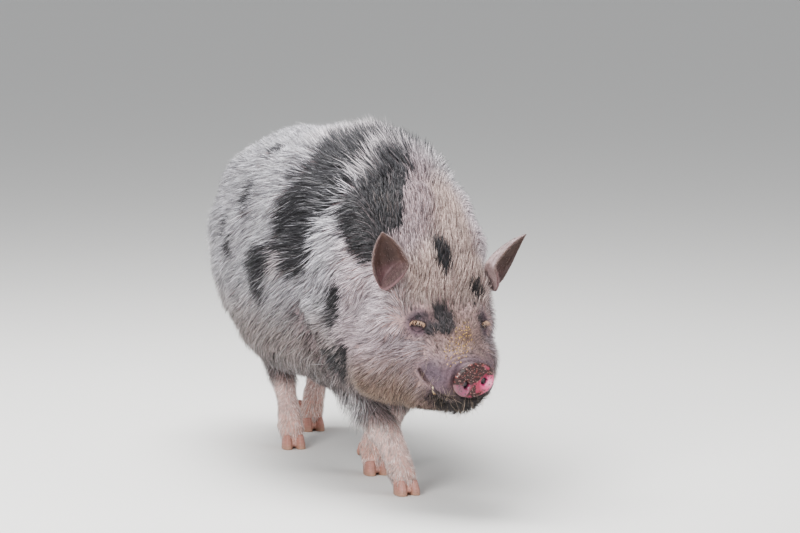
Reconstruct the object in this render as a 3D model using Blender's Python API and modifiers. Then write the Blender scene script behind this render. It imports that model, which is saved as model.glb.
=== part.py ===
"""A kunekune pig, life size, walking with its head held low: a still model.

Metres. +X runs ahead, +Y to the pig's own left, +Z up, and the floor is at z = 0.
The flesh is made whole from lofts and rounded masses, fused into one skin, and then parted
by thin cuts into head, neck, torso, legs and tail. Ears, eyes, nose disc, tusks and claws
are pieces of their own. The bristly coat is built as flat, tapered locks on a low core.
"""
import math
import random
from collections import namedtuple

import bmesh
import bpy
from mathutils import Matrix, Vector
from mathutils.bvhtree import BVHTree

# ---------------------------------------------------------------- driving dimensions
GAP = 0.0003  # between pieces that touch
VOXEL = 0.007  # of the fused flesh
RING_SIDES = 28
CUTTER_SIZE = 3.0  # of the box that cuts one side of a plane away
SHARP_ANGLE = math.radians(40)
SIDES = ((-1, "right"), (1, "left"))

# One upright cross-section of the trunk: how far ahead it lies, the middle of its width,
# the heights of back and belly, and half its width.
Section = namedtuple("Section", "ahead side back belly half_width")
TRUNK = (
    Section(-0.555, 0.000, 0.500, 0.420, 0.030),
    Section(-0.530, 0.000, 0.560, 0.350, 0.090),
    Section(-0.470, -0.003, 0.625, 0.280, 0.155),
    Section(-0.370, -0.006, 0.652, 0.232, 0.200),
    Section(-0.220, -0.010, 0.666, 0.195, 0.224),
    Section(-0.050, -0.014, 0.676, 0.178, 0.230),
    Section(0.100, -0.014, 0.686, 0.182, 0.224),
    Section(0.220, -0.008, 0.690, 0.200, 0.208),
    Section(0.310, 0.004, 0.668, 0.235, 0.182),
    Section(0.370, 0.014, 0.630, 0.280, 0.150),
)

# One cross-section of a bent tube, square to its own axis: its middle, how far its axis
# turns left and drops, and its reach above, below and to each side of the middle.
Slice = namedtuple("Slice", "ahead side height turn drop above below half_width")
NECK = (
    Slice(0.160, -0.010, 0.470, 5, 12, 0.200, 0.220, 0.185),
    Slice(0.270, 0.002, 0.460, 8, 18, 0.185, 0.210, 0.175),
    Slice(0.360, 0.018, 0.440, 11, 24, 0.165, 0.190, 0.160),
    Slice(0.420, 0.030, 0.415, 13, 30, 0.135, 0.175, 0.140),
    Slice(0.460, 0.038, 0.400, 13, 36, 0.100, 0.130, 0.100),
)
TAIL = (
    Slice(-0.500, 0.000, 0.560, 0, 5, 0.024, 0.030, 0.024),
    Slice(-0.560, 0.000, 0.548, 0, -20, 0.019, 0.022, 0.019),
    Slice(-0.596, 0.002, 0.515, 0, -62, 0.015, 0.016, 0.015),
    Slice(-0.612, 0.005, 0.460, 0, -82, 0.013, 0.013, 0.013),
    Slice(-0.614, 0.009, 0.400, 0, -94, 0.011, 0.011, 0.011),
    Slice(-0.606, 0.014, 0.345, 0, -102, 0.009, 0.009, 0.009),
)

# The head has a level frame of its own, from the middle of the nose disc: X ahead, Y left.
NOSE = Vector((0.660, 0.075, 0.262))
HEAD_TURN = math.radians(15)  # to the pig's left
HEAD_ROLL = math.radians(-4)  # its right side up
DISC_THICK = 0.012
DISC_DROP = 18  # degrees
DISC_ROLL = 11
SNOUT = (
    Slice(-0.130, 0, 0.030, 0, 25, 0.060, 0.075, 0.080),
    Slice(-0.090, 0, 0.020, 0, 25, 0.055, 0.062, 0.070),
    Slice(-0.050, 0, 0.008, 0, 22, 0.046, 0.050, 0.062),
    Slice(-0.022, 0, 0.002, 0, 19, 0.038, 0.040, 0.050),
    Slice(-0.006, 0, -0.001, 0, 18, 0.034, 0.034, 0.041),
)

# A rounded mass: its middle and its three radii.
Mound = namedtuple("Mound", "middle radii")
SKULL = (
    Mound((-0.205, 0, 0.150), (0.090, 0.122, 0.120)),  # cranium
    Mound((-0.140, 0, 0.062), (0.078, 0.095, 0.080)),  # face below the brow
    Mound((-0.078, 0, -0.030), (0.062, 0.048, 0.031)),  # lower jaw
    Mound((-0.285, 0, -0.002), (0.125, 0.115, 0.076)),  # throat
)
FACE_PAIRS = (
    Mound((-0.200, 0.074, 0.014), (0.092, 0.076, 0.080)),  # jowl
    Mound((-0.130, 0.050, 0.020), (0.080, 0.056, 0.062)),  # cheek
    Mound((-0.135, 0.030, -0.028), (0.080, 0.050, 0.036)),  # under the cheek
    Mound((-0.187, 0.075, 0.100), (0.080, 0.060, 0.070)),  # temple
    Mound((-0.048, 0.042, -0.010), (0.036, 0.024, 0.022)),  # upper lip
    Mound((-0.122, 0.052, 0.124), (0.036, 0.036, 0.022)),  # brow
    Mound((-0.172, 0.090, 0.165), (0.050, 0.040, 0.050)),  # root of the ear
)
BODY_PAIRS = (
    Mound((0.215, 0.110, 0.400), (0.130, 0.085, 0.170)),  # shoulder
    Mound((-0.380, 0.100, 0.420), (0.150, 0.100, 0.190)),  # ham
    Mound((0.350, 0.062, 0.330), (0.130, 0.075, 0.130)),  # side of the neck
)

# One level of a limb: its height, its middle, and its half-depth and half-width.
Level = namedtuple("Level", "height ahead side half_depth half_width")
LEGS = {
    "foreleg_right": (
        Level(0.430, 0.215, -0.115, 0.105, 0.070),
        Level(0.330, 0.235, -0.115, 0.090, 0.064),
        Level(0.245, 0.262, -0.085, 0.066, 0.052),
        Level(0.180, 0.292, -0.045, 0.046, 0.042),
        Level(0.130, 0.318, -0.016, 0.035, 0.034),
        Level(0.085, 0.338, 0.003, 0.028, 0.027),
        Level(0.050, 0.350, 0.014, 0.029, 0.029),
        Level(0.016, 0.355, 0.019, 0.027, 0.029),
    ),
    "foreleg_left": (
        Level(0.430, 0.200, 0.110, 0.105, 0.070),
        Level(0.330, 0.190, 0.118, 0.090, 0.064),
        Level(0.245, 0.175, 0.100, 0.062, 0.050),
        Level(0.180, 0.155, 0.075, 0.044, 0.040),
        Level(0.130, 0.135, 0.050, 0.033, 0.033),
        Level(0.085, 0.118, 0.034, 0.027, 0.027),
        Level(0.050, 0.112, 0.024, 0.029, 0.029),
        Level(0.016, 0.117, 0.020, 0.027, 0.029),
    ),
    "hindleg_right": (
        Level(0.430, -0.360, -0.100, 0.125, 0.080),
        Level(0.330, -0.320, -0.105, 0.105, 0.070),
        Level(0.245, -0.300, -0.088, 0.068, 0.050),
        Level(0.180, -0.312, -0.070, 0.044, 0.032),
        Level(0.130, -0.290, -0.066, 0.031, 0.024),
        Level(0.085, -0.262, -0.064, 0.026, 0.023),
        Level(0.050, -0.242, -0.064, 0.028, 0.027),
        Level(0.016, -0.234, -0.063, 0.026, 0.028),
    ),
    "hindleg_left": (
        Level(0.430, -0.390, 0.090, 0.125, 0.080),
        Level(0.330, -0.400, 0.100, 0.105, 0.070),
        Level(0.245, -0.430, 0.085, 0.068, 0.050),
        Level(0.180, -0.470, 0.068, 0.044, 0.032),
        Level(0.130, -0.468, 0.054, 0.031, 0.024),
        Level(0.085, -0.460, 0.042, 0.026, 0.023),
        Level(0.050, -0.452, 0.034, 0.028, 0.027),
        Level(0.016, -0.449, 0.030, 0.026, 0.028),
    ),
}
TOE_TURN = {  # degrees that each foot points to the pig's left
    "foreleg_right": 12,
    "foreleg_left": 8,
    "hindleg_right": 0,
    "hindleg_left": 6,
}

# Where the flesh is parted: a point on each plane and the plane's direction.
HEAD_PLANE = (Vector((0.452, 0.038, 0.400)), Vector((0.86, 0.20, -0.30)).normalized())
NECK_PLANE = (Vector((0.262, 0.000, 0.420)), Vector((0.94, 0.12, -0.22)).normalized())
TAIL_PLANE = (Vector((-0.566, 0.000, 0.500)), Vector((-1, 0, 0)))
SLEEVE_MARGIN = 0.014  # round a leg, of the closed sleeve that parts it from the torso
SLEEVE_TOP = 0.375
SLEEVE_REACH = 0.300  # sideways, clear of the flank

EYE = Vector((-0.108, 0.065, 0.096))  # in the head's frame, on the left
EYE_RADIUS = 0.0130
EYE_TURN = 42  # degrees outwards
EYE_LIFT = 8
LID_THICK = 0.0032
LID_SPREAD = (1.0, 1.45, 0.95)  # of the swelling round the eye: ahead, across, up
LIDS_HALF_WIDTH = 0.0115
LIDS_HALF_HEIGHT = 0.0040

EAR_ROOT = Vector((-0.144, 0.106, 0.180))  # in the head's frame, on the left
EAR_SPREAD = 28  # degrees that the ear leans outwards
EAR_LEAN = 17  # degrees that it leans ahead
EAR_FACING = 38  # degrees outwards that its open front faces
EAR_SEAT = Vector((0.05, 0.88, 0.46))  # square to the flat place from which it grows
# One level of an ear: its height, how far ahead its middle lies, and its half-sizes.
EarLevel = namedtuple("EarLevel", "height ahead half_depth half_width")
EAR = (
    EarLevel(-0.034, 0.004, 0.008, 0.012),
    EarLevel(-0.028, 0.004, 0.015, 0.022),
    EarLevel(-0.012, 0.003, 0.021, 0.032),
    EarLevel(0.015, 0.002, 0.024, 0.037),
    EarLevel(0.040, 0.000, 0.021, 0.036),
    EarLevel(0.065, 0.000, 0.015, 0.028),
    EarLevel(0.088, 0.002, 0.009, 0.017),
    EarLevel(0.102, 0.005, 0.004, 0.007),
    EarLevel(0.110, 0.007, 0.002, 0.003),
)
EAR_SIDES = 10
EAR_WALL = 0.004
EAR_FLOOR = 0.007  # of solid root under the bottom of the cup

MOUTH = (  # in the head's frame, on the left, from the corner to the middle
    (-0.086, 0.070, 0.004),
    (-0.070, 0.062, -0.014),
    (-0.050, 0.058, -0.026),
    (-0.030, 0.045, -0.033),
    (-0.014, 0.025, -0.036),
    (-0.010, 0.000, -0.037),
)
MOUTH_RADIUS = 0.0028
TUSK = Vector((-0.055, 0.055, -0.024))
TUSK_LENGTH = 0.018
TUSK_RADIUS = 0.0045

CLAW_LENGTH = 0.047
CLAW_HALF_WIDTH = 0.0130
CLAW_SPREAD = 0.12  # how much the toes part towards their tips
CORONET_HEIGHT = 0.026  # over the middle of the foot
CORONET_SLOPE = 0.22  # higher at the toe
DEWCLAW_LENGTH = 0.024
DEWCLAW_RADIUS = 0.0080

# The colour, linear RGB, and the roughness of each kind of piece.
Finish = namedtuple("Finish", "colour roughness")
FINISHES = {
    "torso": Finish((0.34, 0.31, 0.30), 0.75),
    "neck": Finish((0.38, 0.34, 0.31), 0.75),
    "head": Finish((0.44, 0.38, 0.34), 0.70),
    "tail": Finish((0.34, 0.31, 0.30), 0.80),
    "leg": Finish((0.46, 0.37, 0.34), 0.70),
    "ear": Finish((0.26, 0.17, 0.15), 0.65),
    "nose_disc": Finish((0.55, 0.22, 0.24), 0.35),
    "eye": Finish((0.05, 0.03, 0.02), 0.08),
    "tusk": Finish((0.62, 0.55, 0.40), 0.35),
    "claw": Finish((0.42, 0.28, 0.24), 0.50),
}

# How the coat is laid on one kind of piece: each lock's length, half-width, thickness and the
# rise of its tip over the core.
Coat = namedtuple("Coat", "length half_width thick lift")
COATS = {
    "torso": Coat(0.215, 0.063, 0.012, 0.018),
    "neck": Coat(0.160, 0.044, 0.012, 0.018),
    "head": Coat(0.096, 0.030, 0.006, 0.008),
    "tail": Coat(0.110, 0.016, 0.006, 0.010),
    "leg": Coat(0.140, 0.048, 0.008, 0.009),
}
LOCK_WIDTHS = (0.60, 1.00, 0.78)  # shares of the half-width from the root on, then the tip
LOCK_TAPER = 0.6  # share of the thickness lost from root to tip
LOCK_EDGE = 0.2  # share of the thickness by which its edges lie under the core
LOCK_SINK = 0.006  # depth of the root in the core
LOCK_SPACING = (0.68, 1.60)  # roots apart, in lengths along the lie and half-widths across it
LOCK_SHARES = (1.0, 0.75, 0.5)  # of the full length, tried until a lock ends on its own piece
LOCK_SIZES = (0.88, 1.12)
LOCK_LIFTS = (0.8, 1.2)
HEADING_SPREAD = 12  # degrees
CREST_LIFT = 0.012  # more, along the top of neck and shoulders
CREST_HALF_WIDTH = 0.10
CREST_HEIGHT = 0.50
COAT_SEEDS = {
    "torso": 19,
    "neck": 11,
    "tail": 11,
    "head": 14,
    "foreleg_right": 11,
    "foreleg_left": 19,
    "hindleg_right": 17,
    "hindleg_left": 12,
}
COAT_SOLVER = "MANIFOLD"  # the exact solver leaves open edges where many locks cross
ROOTS_TRIED = 5000
ON_SKIN = 0.004  # how near to the skin a face lies that isn't a cut

# The way that the coat lies, before it is laid along the skin; the head's in its own frame.
LIES = {
    "torso": Vector((-1.00, 0, -0.20)),
    "neck": Vector((-1.00, 0, -0.20)),
    "head": Vector((-1.00, 0, -0.35)),
    "leg": Vector((-0.25, 0, -1.00)),
    "tail": Vector((-0.30, 0, -1.00)),
}
FLANK_DROP = 0.5  # more, where the skin faces sideways
BROW_RISE = 1.5  # the coat of the forehead runs upwards, between the ears
BROW_TURN = 0.10  # height over which it comes to do so
BROW_HALF_WIDTH = 0.115
BROW_FADE = 0.05

# Where no locks grow.
BARE_LEG_TOP = 0.150
BARE_ROUND_TAIL = 0.055
BARE_ROUND_EAR = 0.052
BARE_ROUND_EYE = 0.030
BARE_MUZZLE = -0.060  # in the head's frame, ahead of here, and under the lip line further back
BARE_LIP = (-0.105, 0.012)

# The number of triangles that each copy of the whole flesh is thinned to.
TORSO_GRADE = 950
LEG_GRADE = 1400
NECK_GRADE = 1400
HEAD_GRADE = 3100
TAIL_GRADE = 2600


# ---------------------------------------------------------------- shaping tools
def link(obj):
    bpy.context.scene.collection.objects.link(obj)
    return obj


def object_from(name, shape):
    """An object made from a bmesh, which is used up."""
    mesh = bpy.data.meshes.new(name)
    shape.to_mesh(mesh)
    shape.free()
    return link(bpy.data.objects.new(name, mesh))


def mesh_object(name, points, faces):
    """A mesh object from points and faces, with its normals facing out."""
    mesh = bpy.data.meshes.new(name)
    mesh.from_pydata([tuple(p) for p in points], [], faces)
    shape = bmesh.new()
    shape.from_mesh(mesh)
    bpy.data.meshes.remove(mesh)
    bmesh.ops.recalc_face_normals(shape, faces=shape.faces)
    return object_from(name, shape)


def loft(name, rings):
    """A closed body through rings of equally many points, capped at both ends."""
    sides = len(rings[0])
    points = [point for ring in rings for point in ring]
    faces = []
    for row in range(len(rings) - 1):
        for i in range(sides):
            j = (i + 1) % sides
            near, far = row * sides, (row + 1) * sides
            faces.append((near + i, near + j, far + j, far + i))
    faces.append(tuple(range(sides)))
    faces.append(tuple(range(len(points) - sides, len(points))))
    return mesh_object(name, points, faces)


def smooth_between(stations, steps):
    """The stations with steps - 1 more between each two, on a smooth curve through them."""
    made = []
    for k in range(len(stations) - 1):
        before = stations[max(k - 1, 0)]
        start, end = stations[k], stations[k + 1]
        after = stations[min(k + 2, len(stations) - 1)]
        for step in range(steps):
            t = step / steps
            values = []
            for a, b, c, d in zip(before, start, end, after):
                slope_in, slope_out = (c - a) / 2, (d - b) / 2
                values.append(
                    (2 * t**3 - 3 * t**2 + 1) * b
                    + (t**3 - 2 * t**2 + t) * slope_in
                    + (3 * t**2 - 2 * t**3) * c
                    + (t**3 - t**2) * slope_out
                )
            made.append(type(start)(*values))
    made.append(stations[-1])
    return made


def oval(half_width, above, below, squareness=0.92, sides=RING_SIDES):
    """(sideways, upward) points of a rounded outline whose widest line is at zero height."""
    points = []
    for i in range(sides):
        angle = 2 * math.pi * i / sides
        across, up = math.cos(angle), math.sin(angle)
        reach = above if up > 0 else below
        points.append(
            (
                half_width * math.copysign(abs(across) ** squareness, across),
                reach * math.copysign(abs(up) ** squareness, up),
            )
        )
    return points


def applied(obj):
    """The object with its modifiers made part of its mesh."""
    graph = bpy.context.evaluated_depsgraph_get()
    mesh = bpy.data.meshes.new_from_object(obj.evaluated_get(graph))
    old = obj.data
    obj.modifiers.clear()
    obj.data = mesh
    bpy.data.meshes.remove(old)
    return obj


def triangulated(obj):
    shape = bmesh.new()
    shape.from_mesh(obj.data)
    bmesh.ops.triangulate(shape, faces=shape.faces)
    shape.to_mesh(obj.data)
    shape.free()
    return obj


def copy_of(obj, name, moved=Matrix.Identity(4)):
    mesh = obj.data.copy()
    mesh.transform(moved)
    return link(bpy.data.objects.new(name, mesh))


def fused(name, pieces, voxel, rounds):
    """One skin round overlapping pieces, which are used up, smoothed where they meet."""
    whole = bmesh.new()
    for piece in pieces:
        whole.from_mesh(piece.data)
        bpy.data.objects.remove(piece)
    skin = object_from(name, whole)
    remesh = skin.modifiers.new("fuse", "REMESH")
    remesh.mode = "VOXEL"
    remesh.voxel_size = voxel
    smooth = skin.modifiers.new("smooth", "SMOOTH")
    smooth.factor = 0.5
    smooth.iterations = rounds
    return applied(skin)


def thinned(skin, name, triangles):
    """A coarser copy of the skin."""
    coarse = copy_of(skin, name)
    thin = coarse.modifiers.new("thin", "DECIMATE")
    thin.ratio = triangles / (2 * len(skin.data.polygons))
    return triangulated(applied(coarse))


def combined(obj, operation, others, solver="EXACT"):
    """The object joined with, or cut by, closed meshes, which are used up."""
    group = bpy.data.collections.new("tools")
    bpy.context.scene.collection.children.link(group)
    for other in others:
        bpy.context.scene.collection.objects.unlink(other)
        group.objects.link(other)
    boolean = obj.modifiers.new("combine", "BOOLEAN")
    boolean.operation = operation
    boolean.operand_type = "COLLECTION"
    boolean.collection = group
    boolean.solver = solver
    triangulated(applied(obj))
    for other in others:
        bpy.data.objects.remove(other)
    bpy.data.collections.remove(group)
    return obj


def cut_by_plane(obj, plane, keep_ahead, gap=GAP, solver="EXACT"):
    """Keeps what lies ahead of the plane, or behind it, and closes the cut with a flat face."""
    point, normal = plane
    if not keep_ahead:
        normal = -normal
    turn = normal.to_track_quat("Z", "Y").to_matrix().to_4x4()
    place = Matrix.Translation(point + normal * gap / 2) @ turn
    shape = bmesh.new()
    bmesh.ops.create_cube(shape, size=CUTTER_SIZE)
    bmesh.ops.translate(shape, vec=(0, 0, -CUTTER_SIZE / 2), verts=shape.verts)
    bmesh.ops.transform(shape, matrix=place, verts=shape.verts)
    return combined(obj, "DIFFERENCE", [object_from("half_space", shape)], solver)


def largest_body(obj):
    """Keeps only the largest closed surface of the object."""
    shape = bmesh.new()
    shape.from_mesh(obj.data)
    waiting = set(shape.faces)
    bodies = []
    while waiting:
        front = [waiting.pop()]
        body = list(front)
        while front:
            for edge in front.pop().edges:
                for face in edge.link_faces:
                    if face in waiting:
                        waiting.remove(face)
                        front.append(face)
                        body.append(face)
        bodies.append(body)
    bodies.sort(key=lambda body: sum(face.calc_area() for face in body))
    scraps = [face for body in bodies[:-1] for face in body]
    bmesh.ops.delete(shape, geom=scraps, context="FACES")
    shape.to_mesh(obj.data)
    shape.free()
    return obj


# ---------------------------------------------------------------- flesh
HEAD = (
    Matrix.Translation(NOSE)
    @ Matrix.Rotation(HEAD_TURN, 4, "Z")
    @ Matrix.Rotation(HEAD_ROLL, 4, "X")
)
WORLD = Matrix.Identity(4)


def trunk():
    rings = []
    for s in smooth_between(TRUNK, 3):
        middle = s.belly + 0.46 * (s.back - s.belly)
        outline = oval(s.half_width, s.back - middle, middle - s.belly)
        rings.append([Vector((s.ahead, s.side + y, middle + z)) for y, z in outline])
    return loft("trunk", rings)


def bent_tube(name, slices, frame):
    rings = []
    for s in smooth_between(slices, 3):
        place = (
            frame
            @ Matrix.Translation((s.ahead, s.side, s.height))
            @ Matrix.Rotation(math.radians(s.turn), 4, "Z")
            @ Matrix.Rotation(math.radians(s.drop), 4, "Y")
        )
        outline = oval(s.half_width, s.above, s.below)
        rings.append([place @ Vector((0, y, z)) for y, z in outline])
    return loft(name, rings)


def ball(name, place, fineness=3):
    shape = bmesh.new()
    bmesh.ops.create_icosphere(shape, subdivisions=fineness, radius=1, matrix=place)
    return object_from(name, shape)


def mound(name, shape, frame, side=1):
    x, y, z = shape.middle
    place = frame @ Matrix.Translation((x, side * y, z)) @ Matrix.Diagonal((*shape.radii, 1))
    return ball(name, place)


def limb(name, levels):
    rings = []
    for s in smooth_between(levels, 3):
        outline = oval(s.half_depth, s.half_width, s.half_width)
        rings.append([Vector((s.ahead + x, s.side + y, s.height)) for x, y in outline])
    return loft(name, rings)


def masses():
    """Every lofted or rounded mass of the flesh, overlapping its neighbours."""
    made = [
        trunk(),
        bent_tube("neck_mass", NECK, WORLD),
        bent_tube("snout_mass", SNOUT, HEAD),
        bent_tube("tail_mass", TAIL, WORLD),
    ]
    made += [mound("skull_mass", shape, HEAD) for shape in SKULL]
    for side in (-1, 1):
        made += [mound("face_mass", shape, HEAD, side) for shape in FACE_PAIRS]
        made += [mound("body_mass", shape, WORLD, side) for shape in BODY_PAIRS]
    made += [limb(name, levels) for name, levels in LEGS.items()]
    return made


def sleeve(name, grown=0.0):
    """A closed sleeve round one leg, open to the flank's side, whose top is arched."""
    side = -1 if name.endswith("right") else 1
    levels = [s for s in smooth_between(LEGS[name], 2) if s.height <= SLEEVE_TOP]
    arch = [
        levels[0]._replace(
            height=SLEEVE_TOP + grown + rise, half_depth=levels[0].half_depth * share
        )
        for rise, share in ((0.036, 0.45), (0.022, 0.80))
    ]
    floor = [levels[-1]._replace(height=-0.02 - grown)]
    rings = []
    for s in arch + levels + floor:
        depth = s.half_depth + SLEEVE_MARGIN + grown
        inner = s.half_width + SLEEVE_MARGIN + grown
        outer = SLEEVE_REACH + grown - abs(s.side)
        outline = oval(depth, outer, inner, squareness=0.75, sides=16)
        rings.append([Vector((s.ahead + x, s.side + side * y, s.height)) for x, y in outline])
    return loft(f"{name}_sleeve", rings)


# ---------------------------------------------------------------- pieces of the body
def foot_frame(name):
    """The frame of a foot: its origin on the floor under the leg, X towards the toes."""
    last = LEGS[name][-1]
    turn = Matrix.Rotation(math.radians(TOE_TURN[name]), 4, "Z")
    return Matrix.Translation((last.ahead + 0.002, last.side, 0)) @ turn


def coronet(name):
    """The plane on which the leg's flesh ends and its claws begin."""
    frame = foot_frame(name)
    normal = Vector((-CORONET_SLOPE, 0, 1)).normalized()
    return frame @ Vector((0, 0, CORONET_HEIGHT)), frame.to_3x3() @ normal


def claw(name, frame, side):
    """One half of a cloven foot: a blunt wedge with a flat sole and a sheer inner wall."""
    rings = []
    for height, shrink, back in ((0, 1.0, 0), (0.010, 1.0, 0.001), (None, 0.84, 0.006)):
        ring = []
        for i in range(12):
            angle = 2 * math.pi * (i + 0.5) / 12
            x = math.cos(angle) * CLAW_LENGTH / 2 * shrink + 0.008 - back
            y = math.sin(angle) * CLAW_HALF_WIDTH * shrink
            y = max(y, -CLAW_HALF_WIDTH * 0.62) + CLAW_HALF_WIDTH * 0.80
            spread = CLAW_SPREAD * max(x, 0)
            z = height
            if z is None:
                z = CORONET_HEIGHT + CORONET_SLOPE * x - 1.5 * GAP
            ring.append(frame @ Vector((x, side * (y + spread), z)))
        rings.append(ring)
    return loft(name, rings)


def dewclaw(name, frame, side, grown=0.0):
    """A small blunt horn behind the foot, pointing down and back."""
    place = (
        frame
        @ Matrix.Translation((-0.020, side * 0.017, 0.056))
        @ Matrix.Rotation(math.radians(-side * 14), 4, "Z")
        @ Matrix.Rotation(math.radians(-152), 4, "Y")
    )
    rings = []
    for reach, share in ((-0.004, 0.95), (0.70, 0.90), (1.0, 0.40)):
        along = reach * DEWCLAW_LENGTH if reach > 0 else reach
        along += grown if reach == 1.0 else 0
        along -= grown if reach < 0 else 0
        radius = DEWCLAW_RADIUS * share + grown
        rings.append([place @ Vector((x, y, along)) for x, y in oval(radius, radius, radius, 1, 6)])
    return loft(name, rings)


def eye_frame(side):
    return (
        HEAD
        @ Matrix.Translation((EYE.x, side * EYE.y, EYE.z))
        @ Matrix.Rotation(math.radians(side * EYE_TURN), 4, "Z")
        @ Matrix.Rotation(math.radians(-EYE_LIFT), 4, "Y")
    )


def eyeball(name, side, radius, fineness=3):
    return ball(name, eye_frame(side) @ Matrix.Scale(radius, 4), fineness)


def lids(side):
    """The swelling of both lids round the eyeball."""
    radius = EYE_RADIUS + LID_THICK
    sizes = [radius * share for share in LID_SPREAD]
    return ball("lids", eye_frame(side) @ Matrix.Diagonal((*sizes, 1)), 2)


def lid_opening(side):
    """The almond between the lids, as a prism that runs outwards from the eyeball."""
    frame = eye_frame(side)
    outline = []
    for i in range(12):
        angle = 2 * math.pi * i / 12
        y = LIDS_HALF_WIDTH * math.cos(angle)
        z = LIDS_HALF_HEIGHT * math.sin(angle) * (1 - 0.45 * abs(math.cos(angle)))
        outline.append((y, z - 0.0015 + side * 0.10 * y))
    rings = [[frame @ Vector((x, y, z)) for y, z in outline] for x in (0.002, 0.040)]
    return loft("lid_opening", rings)


def disc_frame():
    return (
        HEAD
        @ Matrix.Rotation(math.radians(DISC_DROP), 4, "Y")
        @ Matrix.Rotation(math.radians(DISC_ROLL), 4, "X")
    )


def disc_ring(share, along, sides=20):
    """A ring of the nose disc, wider below its middle than above."""
    ring = []
    for y, z in oval(0.0435 * share, 0.0370 * share, 0.0350 * share, 0.90, sides):
        ring.append(disc_frame() @ Vector((along, y * (1 - 2.2 * z * share), z)))
    return ring


def nose_disc():
    rings = [
        disc_ring(0.93, -DISC_THICK + GAP),
        disc_ring(1.00, -DISC_THICK * 0.55),
        disc_ring(0.98, -0.0015),
        disc_ring(0.88, 0.0005),
        disc_ring(0.55, -0.0010),
        disc_ring(0.20, -0.0005),
    ]
    disc = loft("nose_disc", rings)
    nostrils = []
    for side in (-1, 1):
        wells = []
        for along, share in ((0.004, 1.25), (-0.002, 1.0), (-0.0085, 0.7)):
            place = disc_frame() @ Matrix.Translation((along, side * (0.0165 + along * 0.3), -0.003))
            tilt = Matrix.Rotation(math.radians(side * 24), 4, "X")
            outline = oval(0.0058 * share, 0.0078 * share, 0.0078 * share, 1, 10)
            wells.append([place @ tilt @ Vector((0, y, z)) for y, z in outline])
        nostrils.append(loft("nostril", wells))
    return combined(disc, "DIFFERENCE", nostrils)


def mouth_groove(surface):
    """A thin tube sunk by half in the face, along the line of the mouth."""
    left = [HEAD @ Vector(point) for point in MOUTH]
    right = [HEAD @ Vector((x, -y, z)) for x, y, z in reversed(MOUTH[:-1])]
    route = [surface.find_nearest(point)[0] for point in left + right]
    rings = []
    for k, point in enumerate(route):
        ahead = (route[min(k + 1, len(route) - 1)] - route[max(k - 1, 0)]).normalized()
        out = surface.find_nearest(point)[1]
        across = ahead.cross(out).normalized()
        out = across.cross(ahead)
        share = 0.6 if k in (0, len(route) - 1) else 1.0
        radius = MOUTH_RADIUS * share
        rings.append(
            [point + (across * x + out * y * 1.6) * radius for x, y in oval(1, 1, 1, 1, 6)]
        )
    return loft("mouth_groove", rings)


def tusk(name, side, grown=0.0):
    """The tip of a lower tusk, which turns up and out over the lip."""
    place = (
        HEAD
        @ Matrix.Translation((TUSK.x, side * TUSK.y, TUSK.z))
        @ Matrix.Rotation(math.radians(-side * 34), 4, "X")
        @ Matrix.Rotation(math.radians(12), 4, "Y")
    )
    rings = []
    for reach, share in ((-0.4, 1.0), (0.1, 0.95), (0.4, 0.62), (0.6, 0.25)):
        along = reach * TUSK_LENGTH + (grown if reach > 0.5 else 0) - (grown if reach < 0 else 0)
        radius = TUSK_RADIUS * share + grown
        rings.append([place @ Vector((x, y, along)) for x, y in oval(radius, radius, radius, 1, 8)])
    return loft(name, rings)


def ear_frame(side):
    """The frame of an ear: Z from its root to its tip, X towards its open front."""
    return (
        HEAD
        @ Matrix.Translation((EAR_ROOT.x, side * EAR_ROOT.y, EAR_ROOT.z))
        @ Matrix.Rotation(math.radians(-side * EAR_SPREAD), 4, "X")
        @ Matrix.Rotation(math.radians(EAR_LEAN), 4, "Y")
        @ Matrix.Rotation(math.radians(side * EAR_FACING), 4, "Z")
    )


def ear_seat(side):
    """The flat place on the side of the head from which the ear grows."""
    frame = ear_frame(side)
    normal = HEAD.to_3x3() @ Vector((EAR_SEAT.x, side * EAR_SEAT.y, EAR_SEAT.z))
    return frame.translation, normal.normalized()


def ear_rings(frame, levels, grown=0.0, ahead=0.0):
    rings = []
    for s in levels:
        across = s.half_width + grown
        outline = oval(s.half_depth + grown, across, across, 1, EAR_SIDES)
        rings.append([frame @ Vector((x + s.ahead + ahead, y, s.height)) for x, y in outline])
    return rings


def ear_body(name, side, grown=0.0):
    """The whole ear before its cup is hollowed, down to its seat."""
    body = loft(name, ear_rings(ear_frame(side), EAR, grown))
    point, normal = ear_seat(side)
    return cut_by_plane(body, (point - normal * grown, normal), True, 2 * GAP)


def ear(name, side):
    """A leaf-shaped cup with thin walls, open ahead and outwards from root to tip."""
    hollow = []
    for s in EAR[1:]:
        depth = max(s.half_depth * 1.25, 0.004)
        ahead = s.ahead - s.half_depth + EAR_WALL + depth
        hollow.append(EarLevel(s.height, ahead, depth, max(s.half_width - EAR_WALL, 0.002)))
    hollow.append(hollow[-1]._replace(height=hollow[-1].height + 0.010))
    scoop = loft("scoop", ear_rings(ear_frame(side), hollow))
    point, normal = ear_seat(side)
    cut_by_plane(scoop, (point + normal * EAR_FLOOR, normal), True)
    return combined(ear_body(name, side), "DIFFERENCE", [scoop])


# ---------------------------------------------------------------- coat
def along_skin(direction, normal):
    return (direction - normal * direction.dot(normal)).normalized()


def lie(kind, point, normal):
    """The way that the coat lies at one place: back and down, up the brow, and down the legs."""
    way = LIES[kind].copy()
    if kind == "head":
        place = HEAD.inverted() @ point
        middle = min(max((BROW_HALF_WIDTH - abs(place.y)) / BROW_FADE, 0), 1)
        way.z += BROW_RISE * middle * min(max(place.z / BROW_TURN, 0), 1)
        way = HEAD.to_3x3() @ way
    elif kind in ("torso", "neck"):
        way.z -= FLANK_DROP * abs(normal.y)
    return along_skin(way, normal)


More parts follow.
